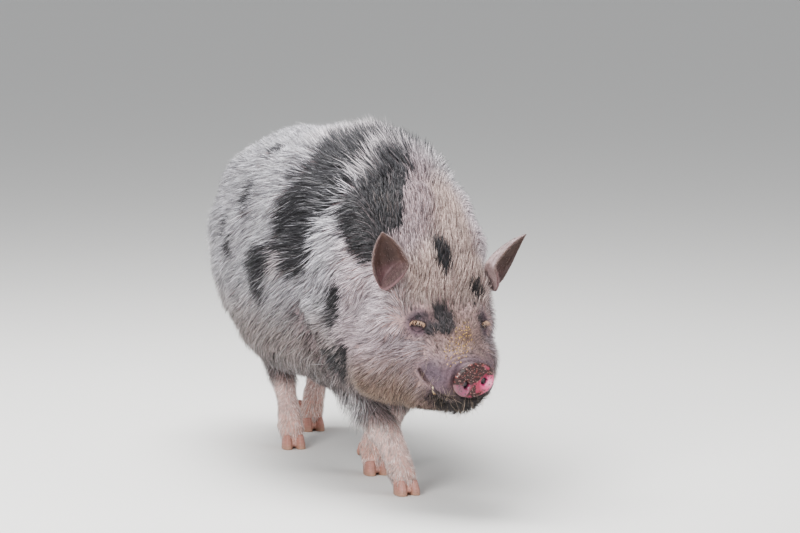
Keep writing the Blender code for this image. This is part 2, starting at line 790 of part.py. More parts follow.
def bare(kind, point):
    """Whether no lock grows here: lower legs, muzzle, round the eyes and under the ears."""
    if kind == "leg":
        return point.z < BARE_LEG_TOP
    if kind == "tail":
        return False
    if kind == "torso":
        return (point - TAIL_PLANE[0]).length < BARE_ROUND_TAIL
    ears = [ear_frame(side).translation for side in (-1, 1)]
    if min((point - ear).length for ear in ears) < BARE_ROUND_EAR:
        return True
    if kind == "neck":
        return False
    place = HEAD.inverted() @ point
    eyes = [eye_frame(side).translation for side in (-1, 1)]
    lips = place.x > BARE_LIP[0] and place.z < BARE_LIP[1]
    near_eye = min((point - eye).length for eye in eyes) < BARE_ROUND_EYE
    return place.x > BARE_MUZZLE or lips or near_eye


class Field:
    """The skin of one plain piece, on which the roots of its locks are spread."""

    def __init__(self, plain, skin_tree):
        mesh = plain.data
        mesh.calc_loop_triangles()
        self.corners = []
        self.reach = []
        total = 0
        for face in mesh.loop_triangles:
            corners = [mesh.vertices[i].co.copy() for i in face.vertices]
            middle = sum(corners, Vector()) / 3
            if skin_tree.find_nearest(middle)[3] < ON_SKIN and face.area > 0:
                total += face.area
                self.corners.append(corners)
                self.reach.append(total)
        shape = bmesh.new()
        for corners in self.corners:
            shape.faces.new([shape.verts.new(point) for point in corners])
        self.tree = BVHTree.FromBMesh(shape)
        shape.free()

    def point(self, draw):
        corners = draw.choices(self.corners, cum_weights=self.reach)[0]
        a, b = draw.random(), draw.random()
        if a + b > 1:
            a, b = 1 - a, 1 - b
        return corners[0] + (corners[1] - corners[0]) * a + (corners[2] - corners[0]) * b

    def holds(self, point):
        return self.tree.find_nearest(point)[3] < ON_SKIN


def route_on(skin_tree, field, kind, root, length, turn):
    """Places along the skin from a root, one for each ring of a lock, and where it must end."""
    step = length / len(LOCK_WIDTHS)
    normal = skin_tree.find_nearest(root)[1]
    heading = Matrix.Rotation(turn, 3, normal) @ lie(kind, root, normal)
    places = [(root, normal, heading)]
    for _ in LOCK_WIDTHS:
        point = places[-1][0] + places[-1][2] * step
        near, normal = skin_tree.find_nearest(point)[:2]
        if not field.holds(near):
            return None
        drift = lie(kind, near, normal) + places[-1][2]
        places.append((near, normal, along_skin(drift, normal)))
    return places


def lock(skin_tree, places, coat, lift):
    """A flat, tapered lock: sunk at its root, lying along the skin and lifting to its tip."""
    rings = []
    for k, width in enumerate(LOCK_WIDTHS):
        near, normal, heading = places[k]
        share = k / len(LOCK_WIDTHS)
        rise = lift * share**1.5 - LOCK_SINK * (1 - share) ** 2
        across = heading.cross(normal).normalized() * coat.half_width * width
        ring = [near + normal * (rise + coat.thick * (1 - LOCK_TAPER * share))]
        for side in (1, -1):
            edge, out = skin_tree.find_nearest(near + across * side)[:2]
            ring.append(edge + out * (rise - coat.thick * LOCK_EDGE))
        rings.append(ring)
    near, normal = places[-1][:2]
    tip = near + normal * lift
    points = [point for ring in rings for point in ring] + [tip]
    faces = [(0, 1, 2)]
    for row in range(len(rings) - 1):
        for i in range(3):
            j = (i + 1) % 3
            near, far = 3 * row, 3 * (row + 1)
            faces += [(near + i, near + j, far + j), (near + i, far + j, far + i)]
    last = 3 * (len(rings) - 1)
    faces += [(last + i, last + (i + 1) % 3, len(points) - 1) for i in range(3)]
    return mesh_object("lock", points, faces)


def crowded(root, grown, along, across):
    """Whether a root stands too near to one that has its lock already."""
    for other, heading in grown:
        apart = root - other
        ahead = apart.dot(heading)
        beside = (apart - heading * ahead).length
        if (ahead / along) ** 2 + (beside / across) ** 2 < 1:
            return True
    return False


def locks_on(plain, kind, skin_tree, seed):
    """Locks spread evenly over one plain piece, which is used up."""
    coat = COATS[kind]
    field = Field(plain, skin_tree)
    draw = random.Random(seed)
    along, across = LOCK_SPACING[0] * coat.length, LOCK_SPACING[1] * coat.half_width
    grown, made = [], []
    for _ in range(ROOTS_TRIED):
        root, normal = skin_tree.find_nearest(field.point(draw))[:2]
        turn = math.radians(draw.uniform(-HEADING_SPREAD, HEADING_SPREAD))
        size = draw.uniform(*LOCK_SIZES)
        lift = coat.lift * draw.uniform(*LOCK_LIFTS)
        if bare(kind, root) or crowded(root, grown, along, across):
            continue
        for share in LOCK_SHARES:
            places = route_on(skin_tree, field, kind, root, coat.length * size * share, turn)
            if places is not None:
                break
        if places is None:
            continue
        lift *= share
        on_top = root.z > CREST_HEIGHT and root.x > 0 and abs(root.y) < CREST_HALF_WIDTH
        if on_top and kind in ("torso", "neck"):
            lift += CREST_LIFT
        grown.append((root, lie(kind, root, normal)))
        made.append(lock(skin_tree, places, coat, lift))
    bpy.data.objects.remove(plain)
    return made


# ---------------------------------------------------------------- nodes
def torso_cut(torso):
    combined(torso, "DIFFERENCE", [sleeve(name, 1.5 * GAP) for name in LEGS], COAT_SOLVER)
    cut_by_plane(torso, NECK_PLANE, False, solver=COAT_SOLVER)
    cut_by_plane(torso, TAIL_PLANE, False, solver=COAT_SOLVER)
    return largest_body(torso)


def neck_cut(neck):
    combined(neck, "DIFFERENCE", [sleeve(name, 1.5 * GAP) for name in LEGS], COAT_SOLVER)
    cut_by_plane(neck, NECK_PLANE, True, solver=COAT_SOLVER)
    cut_by_plane(neck, HEAD_PLANE, False, solver=COAT_SOLVER)
    return largest_body(neck)


def head_cut(head):
    combined(head, "DIFFERENCE", [sleeve("foreleg_right", 1.5 * GAP)], COAT_SOLVER)
    cut_by_plane(head, HEAD_PLANE, True, solver=COAT_SOLVER)
    largest_body(head)
    disc_back = disc_frame() @ Vector((-DISC_THICK - GAP / 2, 0, 0))
    disc_plane = (disc_back, disc_frame().to_3x3().col[0])
    return cut_by_plane(head, disc_plane, False, solver=COAT_SOLVER)


def head_features(head):
    """Cuts lids, mouth and the seats of tusks and ears into the head."""
    surface = BVHTree.FromObject(head, bpy.context.evaluated_depsgraph_get())
    combined(head, "UNION", [lids(side) for side in (-1, 1)], COAT_SOLVER)
    cutters = [mouth_groove(surface)]
    for side in (-1, 1):
        cutters.append(eyeball("socket", side, EYE_RADIUS + GAP, 2))
        cutters.append(lid_opening(side))
        cutters.append(tusk("tusk_socket", side, GAP))
        cutters.append(ear_body("ear_socket", side, 2 * GAP))
    return combined(head, "DIFFERENCE", cutters, COAT_SOLVER)


def tail_cut(tail):
    cut_by_plane(tail, TAIL_PLANE, True, solver=COAT_SOLVER)
    return largest_body(tail)


def leg_cut(leg, name):
    combined(leg, "INTERSECT", [sleeve(name)], COAT_SOLVER)
    cut_by_plane(leg, coronet(name), True, solver=COAT_SOLVER)
    return largest_body(leg)


def leg_features(leg, name):
    """Cuts the seats of the dewclaws."""
    sockets = [dewclaw("dewclaw_socket", foot_frame(name), side, GAP) for side in (-1, 1)]
    return combined(leg, "DIFFERENCE", sockets, COAT_SOLVER)


def clothed(skin, skin_tree, name, kind, grade, cut):
    """One piece of the flesh with its locks, cut out of a copy of the whole."""
    locks = locks_on(cut(thinned(skin, "plain", grade)), kind, skin_tree, COAT_SEEDS[name])
    return cut(combined(thinned(skin, name, grade), "UNION", locks, COAT_SOLVER))


def flesh_nodes(skin):
    skin_tree = BVHTree.FromObject(skin, bpy.context.evaluated_depsgraph_get())
    made = [
        clothed(skin, skin_tree, "torso", "torso", TORSO_GRADE, torso_cut),
        clothed(skin, skin_tree, "neck", "neck", NECK_GRADE, neck_cut),
        clothed(skin, skin_tree, "tail", "tail", TAIL_GRADE, tail_cut),
    ]
    head = clothed(skin, skin_tree, "head", "head", HEAD_GRADE, head_cut)
    made.append(largest_body(head_features(head)))
    for name in LEGS:
        leg = clothed(skin, skin_tree, name, "leg", LEG_GRADE, lambda leg: leg_cut(leg, name))
        made.append(largest_body(leg_features(leg, name)))
    return made


def finish_of(name):
    """The kind of piece that a node's name ends or begins with."""
    kinds = [kind for kind in FINISHES if kind in name]
    return max(kinds, key=name.rfind)


def finished(obj, collection):
    """Gives the node its material, rounds its shading and files it with the others."""
    kind = finish_of(obj.name)
    material = bpy.data.materials.get(kind)
    if material is None:
        material = bpy.data.materials.new(kind)
        material.use_nodes = True
        shader = material.node_tree.nodes["Principled BSDF"]
        shader.inputs["Base Color"].default_value = (*FINISHES[kind].colour, 1)
        shader.inputs["Roughness"].default_value = FINISHES[kind].roughness
        shader.inputs["Metallic"].default_value = 0
        material.diffuse_color = (*FINISHES[kind].colour, 1)
    obj.data.materials.clear()
    obj.data.materials.append(material)
    obj.data.shade_smooth()
    obj.data.set_sharp_from_angle(angle=SHARP_ANGLE)
    bpy.context.scene.collection.objects.unlink(obj)
    collection.objects.link(obj)


def stood_at_origin(nodes, collection):
    """Hangs the nodes on an empty that puts the middle of their box over the origin."""
    points = [vertex.co for node in nodes for vertex in node.data.vertices]
    middle = [
        -(min(p[axis] for p in points) + max(p[axis] for p in points)) / 2 for axis in (0, 1)
    ]
    stand = bpy.data.objects.new("kunekune_pig_place", None)
    collection.objects.link(stand)
    stand.location = (*middle, 0)
    for node in nodes:
        node.parent = stand


def build():
    skin = fused("flesh", masses(), VOXEL, 6)
    nodes = flesh_nodes(skin) + [nose_disc()]
    for side, word in SIDES:
        nodes.append(eyeball(f"eye_{word}", side, EYE_RADIUS, 2))
        nodes.append(ear(f"ear_{word}", side))
        nodes.append(tusk(f"tusk_{word}", side))
    for name in LEGS:
        frame = foot_frame(name)
        for side, word in SIDES:
            nodes.append(claw(f"{name}_claw_{word}", frame, side))
            nodes.append(dewclaw(f"{name}_dewclaw_{word}", frame, side))
    bpy.data.objects.remove(skin)
    return nodes


def main():
    for old in list(bpy.data.objects):
        bpy.data.objects.remove(old)
    collection = bpy.data.collections.new("kunekune_pig")
    bpy.context.scene.collection.children.link(collection)
    nodes = build()
    for node in nodes:
        finished(node, collection)
    stood_at_origin(nodes, collection)


main()
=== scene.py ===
import math

import bpy
import numpy as np
from mathutils import Matrix, Vector, noise
from mathutils.bvhtree import BVHTree
from mathutils.kdtree import KDTree


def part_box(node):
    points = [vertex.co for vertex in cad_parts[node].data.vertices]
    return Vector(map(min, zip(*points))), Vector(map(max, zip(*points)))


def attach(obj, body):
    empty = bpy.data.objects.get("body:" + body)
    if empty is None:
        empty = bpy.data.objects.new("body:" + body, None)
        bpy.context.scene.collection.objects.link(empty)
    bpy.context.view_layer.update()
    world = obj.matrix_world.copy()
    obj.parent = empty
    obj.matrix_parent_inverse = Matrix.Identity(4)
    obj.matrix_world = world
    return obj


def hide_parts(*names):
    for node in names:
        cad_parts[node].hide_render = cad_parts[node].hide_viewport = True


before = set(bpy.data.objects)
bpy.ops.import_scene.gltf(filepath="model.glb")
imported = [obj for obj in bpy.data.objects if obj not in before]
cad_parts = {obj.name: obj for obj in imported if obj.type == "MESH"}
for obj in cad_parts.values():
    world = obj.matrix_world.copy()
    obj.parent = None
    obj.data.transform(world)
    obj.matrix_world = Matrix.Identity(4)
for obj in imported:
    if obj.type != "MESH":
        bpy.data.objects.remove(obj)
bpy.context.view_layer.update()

# ---------------------------------------------------------------- the pig's own measures
# A pig is measured from the floor under its middle, X ahead, Y to its left and Z up, and its
# head from the middle of the nose disc. The frame is centred on the whole box instead, and the
# eyeballs, whose places in the head are known, give the step between the two.
HEAD_TURN, HEAD_ROLL = math.radians(15), math.radians(-4)
NOSE_AT = Vector((0.660, 0.075, 0.262))
DISC_TILT, DISC_ROLL = math.radians(18), math.radians(11)
EYE_AT = Vector((-0.108, 0.065, 0.096))  # in the head, on the left
EYE_TURN, EYE_LIFT = math.radians(42), math.radians(8)  # outwards and up
SIDES = ((-1, "right"), (1, "left"))


def box_middle(node):
    low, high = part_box(node)
    return (Vector(low) + Vector(high)) / 2


head_turn = Matrix.Rotation(HEAD_TURN, 4, "Z") @ Matrix.Rotation(HEAD_ROLL, 4, "X")
between_eyes = (box_middle("eye_right") + box_middle("eye_left")) / 2
STAND = between_eyes - head_turn @ Vector((EYE_AT.x, 0, EYE_AT.z)) - NOSE_AT
HEAD = Matrix.Translation(NOSE_AT + STAND) @ head_turn
disc_frame = HEAD @ Matrix.Rotation(DISC_TILT, 4, "Y") @ Matrix.Rotation(DISC_ROLL, 4, "X")


def eye_frame(side):
    """The frame of an eyeball: X out of the eye, Y across it, Z up."""
    return (
        HEAD
        @ Matrix.Translation((EYE_AT.x, side * EYE_AT.y, EYE_AT.z))
        @ Matrix.Rotation(side * EYE_TURN, 4, "Z")
        @ Matrix.Rotation(-EYE_LIFT, 4, "Y")
    )


def axes(place):
    return np.array(place.to_3x3())


def inside(place, points):
    """World points as numbers in another frame."""
    return (points - np.array(place.translation)) @ axes(place)


def outside(place, points):
    """Points of another frame as numbers in the world."""
    return points @ axes(place).T + np.array(place.translation)


# ---------------------------------------------------------------- studio
# A plain pale floor, three large soft lights and a long lens, low and almost from the front.
# They only show the model and are no part of it.
CAMERA_AZIMUTH, CAMERA_HEIGHT = math.radians(75), math.radians(7)
CAMERA_AIM = Vector((0.0646, 0.0887, 0.4085))
CAMERA_DISTANCE, CAMERA_LENS = 8.5, 191
LIGHTS = (  # place, width in metres and watts
    ("light_over", (-0.3, -0.5, 3.3), 2.4, 208),
    ("light_left", (3.2, -2.6, 2.2), 1.8, 180),
    ("light_right", (2.4, 3.2, 1.8), 2.4, 60),
)
LIGHTS_AIM = Vector((0.1, 0, 0.35))
SKY, SKY_LIGHT = (0.93, 0.95, 0.98, 1), 0.55
PAPER, PAPER_ROUGHNESS, FLOOR_WIDTH = (0.70, 0.69, 0.67, 1), 0.85, 40


def linked(name, data):
    """A new object in the scene."""
    obj = bpy.data.objects.new(name, data)
    bpy.context.scene.collection.objects.link(obj)
    return obj


level = math.cos(CAMERA_HEIGHT)
away = (math.sin(CAMERA_AZIMUTH) * level, -math.cos(CAMERA_AZIMUTH) * level, math.sin(CAMERA_HEIGHT))
away = Vector(away)
camera = linked("camera", bpy.data.cameras.new("camera"))
camera.location = CAMERA_AIM + STAND + away * CAMERA_DISTANCE
camera.rotation_euler = away.to_track_quat("Z", "Y").to_euler()
camera.data.lens = CAMERA_LENS
bpy.context.scene.camera = camera

for name, place, size, watts in LIGHTS:
    lamp = bpy.data.lights.new(name, "AREA")
    lamp.size = size
    lamp.energy = watts
    light = linked(name, lamp)
    light.location = place
    light.rotation_euler = (Vector(place) - LIGHTS_AIM).to_track_quat("Z", "Y").to_euler()

world = bpy.data.worlds.new("studio")
world.use_nodes = True
world.node_tree.nodes["Background"].inputs["Color"].default_value = SKY
world.node_tree.nodes["Background"].inputs["Strength"].default_value = SKY_LIGHT
bpy.context.scene.world = world
bpy.context.scene.view_settings.look = "AgX - Medium High Contrast"

bpy.ops.object.select_all(action="DESELECT")
bpy.ops.mesh.primitive_plane_add(size=FLOOR_WIDTH, location=(0, 0, 0))
floor = bpy.context.object
floor.name = "floor"
paper = bpy.data.materials.new("paper")
paper.use_nodes = True
paper.node_tree.nodes["Principled BSDF"].inputs["Base Color"].default_value = PAPER
paper.node_tree.nodes["Principled BSDF"].inputs["Roughness"].default_value = PAPER_ROUGHNESS
floor.data.materials.append(paper)

# ---------------------------------------------------------------- skin
# One hide covers the pig from the back of the nose disc to the tail and the claws. The locks
# of the frame are smoothed away, and the hide is drawn in by their core's depth, so that the
# coat that stands on it reaches out as far as they do.
FLESH = ("torso", "neck", "head", "tail", "foreleg_right", "foreleg_left", "hindleg_right", "hindleg_left")
CLAWS = tuple(sorted(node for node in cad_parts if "_claw_" in node))
LOCK_VOXEL, HIDE_VOXEL = 0.005, 0.0064
FIRST_ROUNDS, SECOND_ROUNDS, LAST_ROUNDS = 110, 20, 3  # of smoothing
SOFTNESS = (1, 0.35, 0.10, 0.35, 0.05)  # of trunk, cheeks, face, thighs with arms, and shanks
INSET = (0.012, 0.007, 0.001, 0.006, 0)  # of the same, in metres
CLAW_INSET = 0.0016
WEIGHT_STEPS = 20


def deselected():
    if bpy.context.object and bpy.context.object.mode != "OBJECT":
        bpy.ops.object.mode_set(mode="OBJECT")
    bpy.ops.object.select_all(action="DESELECT")


def alone(obj):
    deselected()
    obj.select_set(True)
    bpy.context.view_layer.objects.active = obj


def edited(obj, operator, **settings):
    """Runs an operator of edit mode on the whole mesh."""
    alone(obj)
    bpy.ops.object.mode_set(mode="EDIT")
    bpy.ops.mesh.select_all(action="SELECT")
    operator(**settings)
    bpy.ops.object.mode_set(mode="OBJECT")


def copied(nodes, name):
    """One new object with the shapes of these nodes, merged into closed meshes."""
    deselected()
    copies = [linked(name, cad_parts[node].data.copy()) for node in nodes]
    for copy in copies:
        copy.select_set(True)
    bpy.context.view_layer.objects.active = copies[0]
    if len(copies) > 1:
        bpy.ops.object.join()
    obj = bpy.context.object
    obj.name = name
    obj.data.materials.clear()
    edited(obj, bpy.ops.mesh.remove_doubles, threshold=0.00002)
    return obj


def modified(obj, kind, **settings):
    """Adds a modifier with these settings and applies it."""
    alone(obj)
    modifier = obj.modifiers.new(kind.lower(), kind)
    for key, value in settings.items():
        setattr(modifier, key, value)
    bpy.ops.object.modifier_apply(modifier=modifier.name)


def remeshed(obj, voxel):
    modified(obj, "REMESH", mode="VOXEL", voxel_size=voxel)


def smoothed(obj, rounds, group=""):
    modified(obj, "SMOOTH", factor=0.5, iterations=rounds, vertex_group=group)
    obj.vertex_groups.clear()


def painted(obj, weights):
    """A vertex group that holds these weights in steps."""
    group = obj.vertex_groups.new(name="softness")
    steps = np.rint(np.clip(weights, 0, 1) * WEIGHT_STEPS).astype(int)
    for step in range(1, WEIGHT_STEPS + 1):
        group.add(np.flatnonzero(steps == step).tolist(), step / WEIGHT_STEPS, "REPLACE")
    return group.name


def numbers(items, key, width=3):
    """One property of many items, as rows of numbers."""
    flat = np.empty(len(items) * width, np.float32)
    items.foreach_get(key, flat)
    return flat.reshape(-1, width).astype(np.float64)


def points_of(obj):
    return numbers(obj.data.vertices, "co")


def normals_of(obj):
    return numbers(obj.data.vertex_normals, "vector")


def moved_to(obj, points):
    obj.data.vertices.foreach_set("co", points.astype(np.float32).ravel())
    obj.data.update()


def swollen(obj, heights):
    """Moves each vertex out of the surface by its height."""
    moved_to(obj, points_of(obj) + normals_of(obj) * heights[:, None])


def shaded_smooth(obj, *materials):
    alone(obj)
    bpy.ops.object.shade_smooth()
    for material in materials:
        obj.data.materials.append(material)


def ease(start, end, values):
    """0 before start, 1 past end, and a smooth step between."""
    share = np.clip((values - start) / (end - start), 0, 1)
    return share * share * (3 - 2 * share)


def bell(values, width, middle=0.0):
    """1 at the middle, and falling off smoothly over the width on both sides."""
    return np.exp(-(((values - middle) / width) ** 2))


def regions(points):
    """How far each point belongs to head and face, and to legs and shanks."""
    in_head = inside(HEAD, points)
    head = ease(-0.330, -0.250, in_head[:, 0]) * ease(0.10, 0.16, points[:, 2])
    face = ease(-0.175, -0.120, in_head[:, 0]) * ease(0.125, 0.085, in_head[:, 2]) * head
    leg = ease(0.300, 0.200, points[:, 2]) * (1 - head)
    shank = ease(0.170, 0.120, points[:, 2]) * (1 - head)
    return {"head": head, "face": face, "leg": leg, "shank": shank}


def by_region(obj, trunk, cheek=0, face=0, thigh=0, shank=0):
    """One number for each part of the body, blended where they meet."""
    part = regions(points_of(obj))
    value = trunk * (1 - part["head"]) * (1 - part["leg"])
    value += cheek * part["head"] * (1 - part["face"]) + face * part["face"]
    return value + (thigh * part["leg"] * (1 - part["shank"]) + shank * part["shank"])


def largest(obj):
    """Keeps only the largest loose part of a mesh."""
    name = obj.name
    edited(obj, bpy.ops.mesh.separate, type="LOOSE")
    parts = sorted(bpy.context.selected_objects, key=lambda part: len(part.data.vertices))
    for scrap in parts[:-1]:
        bpy.data.objects.remove(scrap)
    parts[-1].name = name
    return parts[-1]


hide = copied(FLESH + CLAWS + ("eye_right", "eye_left"), "hide")
remeshed(hide, LOCK_VOXEL)
smoothed(hide, FIRST_ROUNDS, painted(hide, by_region(hide, *SOFTNESS)))
remeshed(hide, HIDE_VOXEL)
hide = largest(hide)
smoothed(hide, SECOND_ROUNDS, painted(hide, by_region(hide, 1)))
sole_inset = CLAW_INSET * ease(0.036, 0.027, points_of(hide)[:, 2])
swollen(hide, -(by_region(hide, *INSET) + sole_inset))
smoothed(hide, LAST_ROUNDS)

# The head is worked finer than the trunk, and the skin round the eyes finest, before the lids,
# the mouth and the folds of the snout are modelled in it.
HEAD_BACK, HEAD_ROUNDS = -0.215, 6
EYE_REGION, LID_REGION, LIP_REGION = 0.030, 0.019, 0.011
EYEBALL_RADIUS, LID_RADIUS = 0.0130, 0.0150
EYE_HALF_WIDTH = 0.0130
EYE_UPPER, EYE_LOWER = 0.0046, 0.0050  # heights of the opening over and under its corners' line
EYE_SLANT = 0.10
LID_NEAR, LID_FAR = 0.0105, 0.0175  # the skin follows the eyeball up to here, and lets go there
UPPER_CREASE, LOWER_CREASE, LID_RIM = 0.0016, 0.0012, 0.0008
EYE_OPEN_DEPTH = 0.0095
MOUTH = (  # on the left, from the corner to the middle, in mm as every line and patch is
    (-70, 80, 14), (-62, 70, -5), (-46, 60, -21), (-34, 40, -32), (-20, 20, -37), (-14, 0, -38),
)
LIP_DEPTH, LIP_SWELL, CHIN_DROP = 0.0075, 0.0026, 0.007
CHEEK_FOLD = ((-104, 52, 74), (-92, 66, 50), (-80, 80, 26), (-72, 84, 14))
CHEEK_FOLD_DEPTH = 0.0030
SNOUT_FOLD_DEPTH, SNOUT_FOLD_STEP = 0.0018, 0.0105
ARM_FOLD = (  # where the right foreleg parts from the flank, from the top down
    (278, -175, 378), (287, -162, 347), (290, -151, 321), (291, -137, 288), (297, -125, 257),
    (306, -115, 232),
)
ARM_FOLD_DEPTH, ARM_FOLD_WIDTH = 0.011, 0.010
ARM_SWELL, ARM_SWELL_WIDTH, ARM_SWELL_AT = 0.005, 0.014, 0.026


def finer(obj, chosen):
    """Splits the faces whose middles are chosen."""
    alone(obj)
    keep = chosen(numbers(obj.data.polygons, "center"))
    bpy.ops.object.mode_set(mode="EDIT")
    bpy.ops.mesh.select_all(action="DESELECT")
    bpy.ops.mesh.select_mode(type="FACE")
    bpy.ops.object.mode_set(mode="OBJECT")
    obj.data.polygons.foreach_set("select", keep)
    bpy.ops.object.mode_set(mode="EDIT")
    bpy.ops.mesh.subdivide(number_cuts=1, smoothness=0)
    bpy.ops.object.mode_set(mode="OBJECT")


def off_eyes(points):
    """How far each point lies from the middle of the nearer eye."""
    middles = [np.array(eye_frame(side).translation) for side, _ in SIDES]
    return np.minimum(*(np.linalg.norm(points - middle, axis=1) for middle in middles))


def off_chain(points, chain):
    """How far each point lies outside a chain of balls (x, y, z, radius in mm), below 0 inside it."""
    balls = np.array(chain) / 1000
    nearest = np.full(len(points), 9.0)
    for start, end in zip(balls[:-1], balls[1:]):
        step = end[:3] - start[:3]
        share = np.clip((points - start[:3]) @ step / (step @ step), 0, 1)
        apart = np.linalg.norm(points - start[:3] - share[:, None] * step, axis=1)
        nearest = np.minimum(nearest, apart - start[3] - share * (end[3] - start[3]))
    return nearest


def off_line(points, line):
    """How far each point lies from a line through these places, which are in mm."""
    return off_chain(points, [(*place, 0) for place in line])


def mirrored(in_head):
    """Points of the head, all brought to its left side."""
    return np.stack((in_head[:, 0], np.abs(in_head[:, 1]), in_head[:, 2]), 1)


body = points_of(hide) - np.array(STAND)
to_arm = off_line(body, ARM_FOLD)
arm = ARM_SWELL * bell(to_arm, ARM_SWELL_WIDTH, ARM_SWELL_AT) * ease(0.29, 0.31, body[:, 0])
swollen(hide, arm - ARM_FOLD_DEPTH * bell(to_arm, ARM_FOLD_WIDTH))
finer(hide, lambda points: inside(HEAD, points)[:, 0] > HEAD_BACK)
smoothed(hide, HEAD_ROUNDS, painted(hide, regions(points_of(hide))["head"]))
finer(hide, lambda points: off_eyes(points) < EYE_REGION)
finer(hide, lambda points: off_eyes(points) < LID_REGION)
finer(hide, lambda points: off_line(mirrored(inside(HEAD, points)), MOUTH) < LIP_REGION)


def with_lids(points):
    """Lays the skin round each eye over the eyeball, and parts it between the lids."""
    for side, _ in SIDES:
        place = inside(eye_frame(side), points)
        out, across, up = place[:, 0], place[:, 1], place[:, 2]
        spread = np.hypot(across, up)
        lid = np.sqrt(np.clip(LID_RADIUS**2 - np.minimum(spread, LID_RADIUS * 0.97) ** 2, 0, None))
        near = (out > -0.004) * ease(LID_FAR, LID_NEAR, spread)
        corner = np.clip(1 - (across / EYE_HALF_WIDTH) ** 2, 0, 1)
        upper = EYE_UPPER * corner**0.6 + EYE_SLANT * side * across
        lower = -EYE_LOWER * corner**0.8 + EYE_SLANT * side * across
        gap = np.minimum(upper - up, up - lower)
        gap = np.where(np.abs(across) < EYE_HALF_WIDTH, gap, -1.0)
        opened = ease(-0.0004, 0.0008, gap) * near
        crease = bell(up - upper, 0.0014, 0.0052) * UPPER_CREASE
        crease += bell(lower - up, 0.0016, 0.0060) * LOWER_CREASE
        rim = bell(gap, 0.0011, -0.0012) * LID_RIM
        target = (lid - crease + rim) * (1 - opened) + EYE_OPEN_DEPTH * opened
        out = out + (target - out) * near
        points = points + (out - place[:, 0])[:, None] * axes(eye_frame(side))[:, 0]
    return points


moved_to(hide, with_lids(points_of(hide)))
in_head = inside(HEAD, points_of(hide))
ahead, aside, above = in_head.T
to_mouth, to_fold = off_line(mirrored(in_head), MOUTH), off_line(mirrored(in_head), CHEEK_FOLD)
lips = -LIP_DEPTH * bell(to_mouth, 0.0026)
lips += LIP_SWELL * bell(to_mouth, 0.0040, 0.0070)
lips -= CHEEK_FOLD_DEPTH * bell(to_fold, 0.0060)
folds = SNOUT_FOLD_DEPTH * np.sin(ahead * 2 * math.pi / SNOUT_FOLD_STEP + 8 * aside)
folds *= ease(-0.046, -0.034, ahead) * ease(-0.004, -0.012, ahead) * ease(-0.024, -0.006, above)
swollen(hide, lips + folds)
chin = ease(-0.160, -0.110, ahead) * ease(0.000, -0.020, ahead) * ease(-0.020, -0.045, above)
moved_to(hide, points_of(hide) - np.array((0, 0, CHIN_DROP)) * chin[:, None])
shaded_smooth(hide)

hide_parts(*FLESH)
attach(hide, "root")

# ---------------------------------------------------------------- markings
# Black patches lie over grey, cream and brown hair, in the same places on the skin and on the
# coat. A patch is a set of chains of balls (x, y, z, radius) in mm, its edge drawn by noise.
BAND = (  # behind the shoulder, from the top of the back down
    (  # rear edge
        (175, -50, 685, 28), (200, -85, 675, 28), (222, -130, 645, 28), (238, -165, 600, 28),
        (228, -187, 560, 28), (235, -204, 490, 28), (268, -197, 450, 28),
    ),
    (  # middle
        (200, 60, 675, 28), (217, -17, 689, 34), (270, -108, 645, 54), (283, -145, 600, 58),
        (275, -168, 565, 58), (274, -190, 495, 48), (287, -188, 450, 30),
    ),
    (  # front edge
        (262, -33, 679, 28), (305, -82, 648, 28), (325, -120, 598, 28), (310, -158, 540, 28),
        (306, -173, 497, 28), (302, -180, 452, 28),
    ),
)
SHOULDER = (  # from the crest down to the ear
    (  # rear edge
        (350, -18, 642, 24.5), (370, -58, 611, 24.5), (378, -95, 580, 24.5), (409, -108, 540, 24.5),
        (463, -93, 493, 24.5),
    ),
    (  # middle
        (303, 20, 669, 30), (351, 0, 642, 36), (379, -35, 611, 44), (403, -66, 584, 50),
        (440, -72, 545, 50), (467, -83, 505, 32),
    ),
    (  # front edge
        (352, 18, 642, 24.5), (387, -2, 611, 24.5), (427, -28, 585, 24.5), (468, -36, 545, 24.5),
        (462, -70, 528, 24.5), (476, -79, 495, 24.5),
    ),
)
BODY_PATCHES = (
    *BAND,
    *SHOULDER,
    (  # the near flank
        (120, -234, 440, 30), (185, -222, 450, 30), (152, -229, 425, 36), (150, -229, 378, 25),
    ),
    ((236, 131, 606, 24), (216, 71, 671, 34)),
    ((175, -168, 617, 17), (215, -160, 610, 16)),
    ((-80, -138, 638, 19), (-33, -126, 648, 18)),
    ((-36, -204, 569, 24), (22, -217, 545, 22)),
    ((-127, -235, 478, 20), (-107, -235, 478, 20)),
    ((-57, -241, 445, 21), (-37, -241, 445, 21)),
    ((406, -128, 409, 20), (392, -128, 384, 26), (382, -132, 359, 20)),  # the arm
    ((413, -123, 295, 22), (418, -113, 265, 21), (425, -105, 245, 16)),
    (  # behind the arm
        (350, -120, 283, 22), (362, -115, 270, 27), (375, -109, 251, 20), (382, -101, 234, 10),
    ),
    # the far hip, the far flank and the rump
    ((-330, 150, 580, 40), (-300, 195, 530, 49), (-335, 215, 470, 34)),
    ((-60, 222, 500, 28), (-20, 228, 460, 34)),
    ((120, 215, 400, 24),),
    ((-470, -60, 560, 20),),
)
HEAD_PATCHES = (
    (  # the forehead
        (-145, -5, 237, 21), (-135, -1, 220, 25), (-126, -1, 205, 20), (-121, 1, 190, 10),
    ),
    ((-129, 63, 169, 14), (-127, 67, 154, 17), (-102, 55, 141, 11)),
    ((-102, -25, 124, 19), (-89, -23, 111, 27), (-79, -28, 97, 18)),  # brow
    ((-87, -56, 93, 8), (-81, -54, 82, 7)),  # about the right eye
    ((-110, -87, 104, 5), (-103, -79, 114, 6), (-93, -62, 114, 7)),
    ((-95, 58, 108, 10), (-94, 62, 97, 10), (-96, 70, 87, 7)),
    ((-95, 58, 108, 10), (-107, 83, 116, 8)),  # about the left eye
)
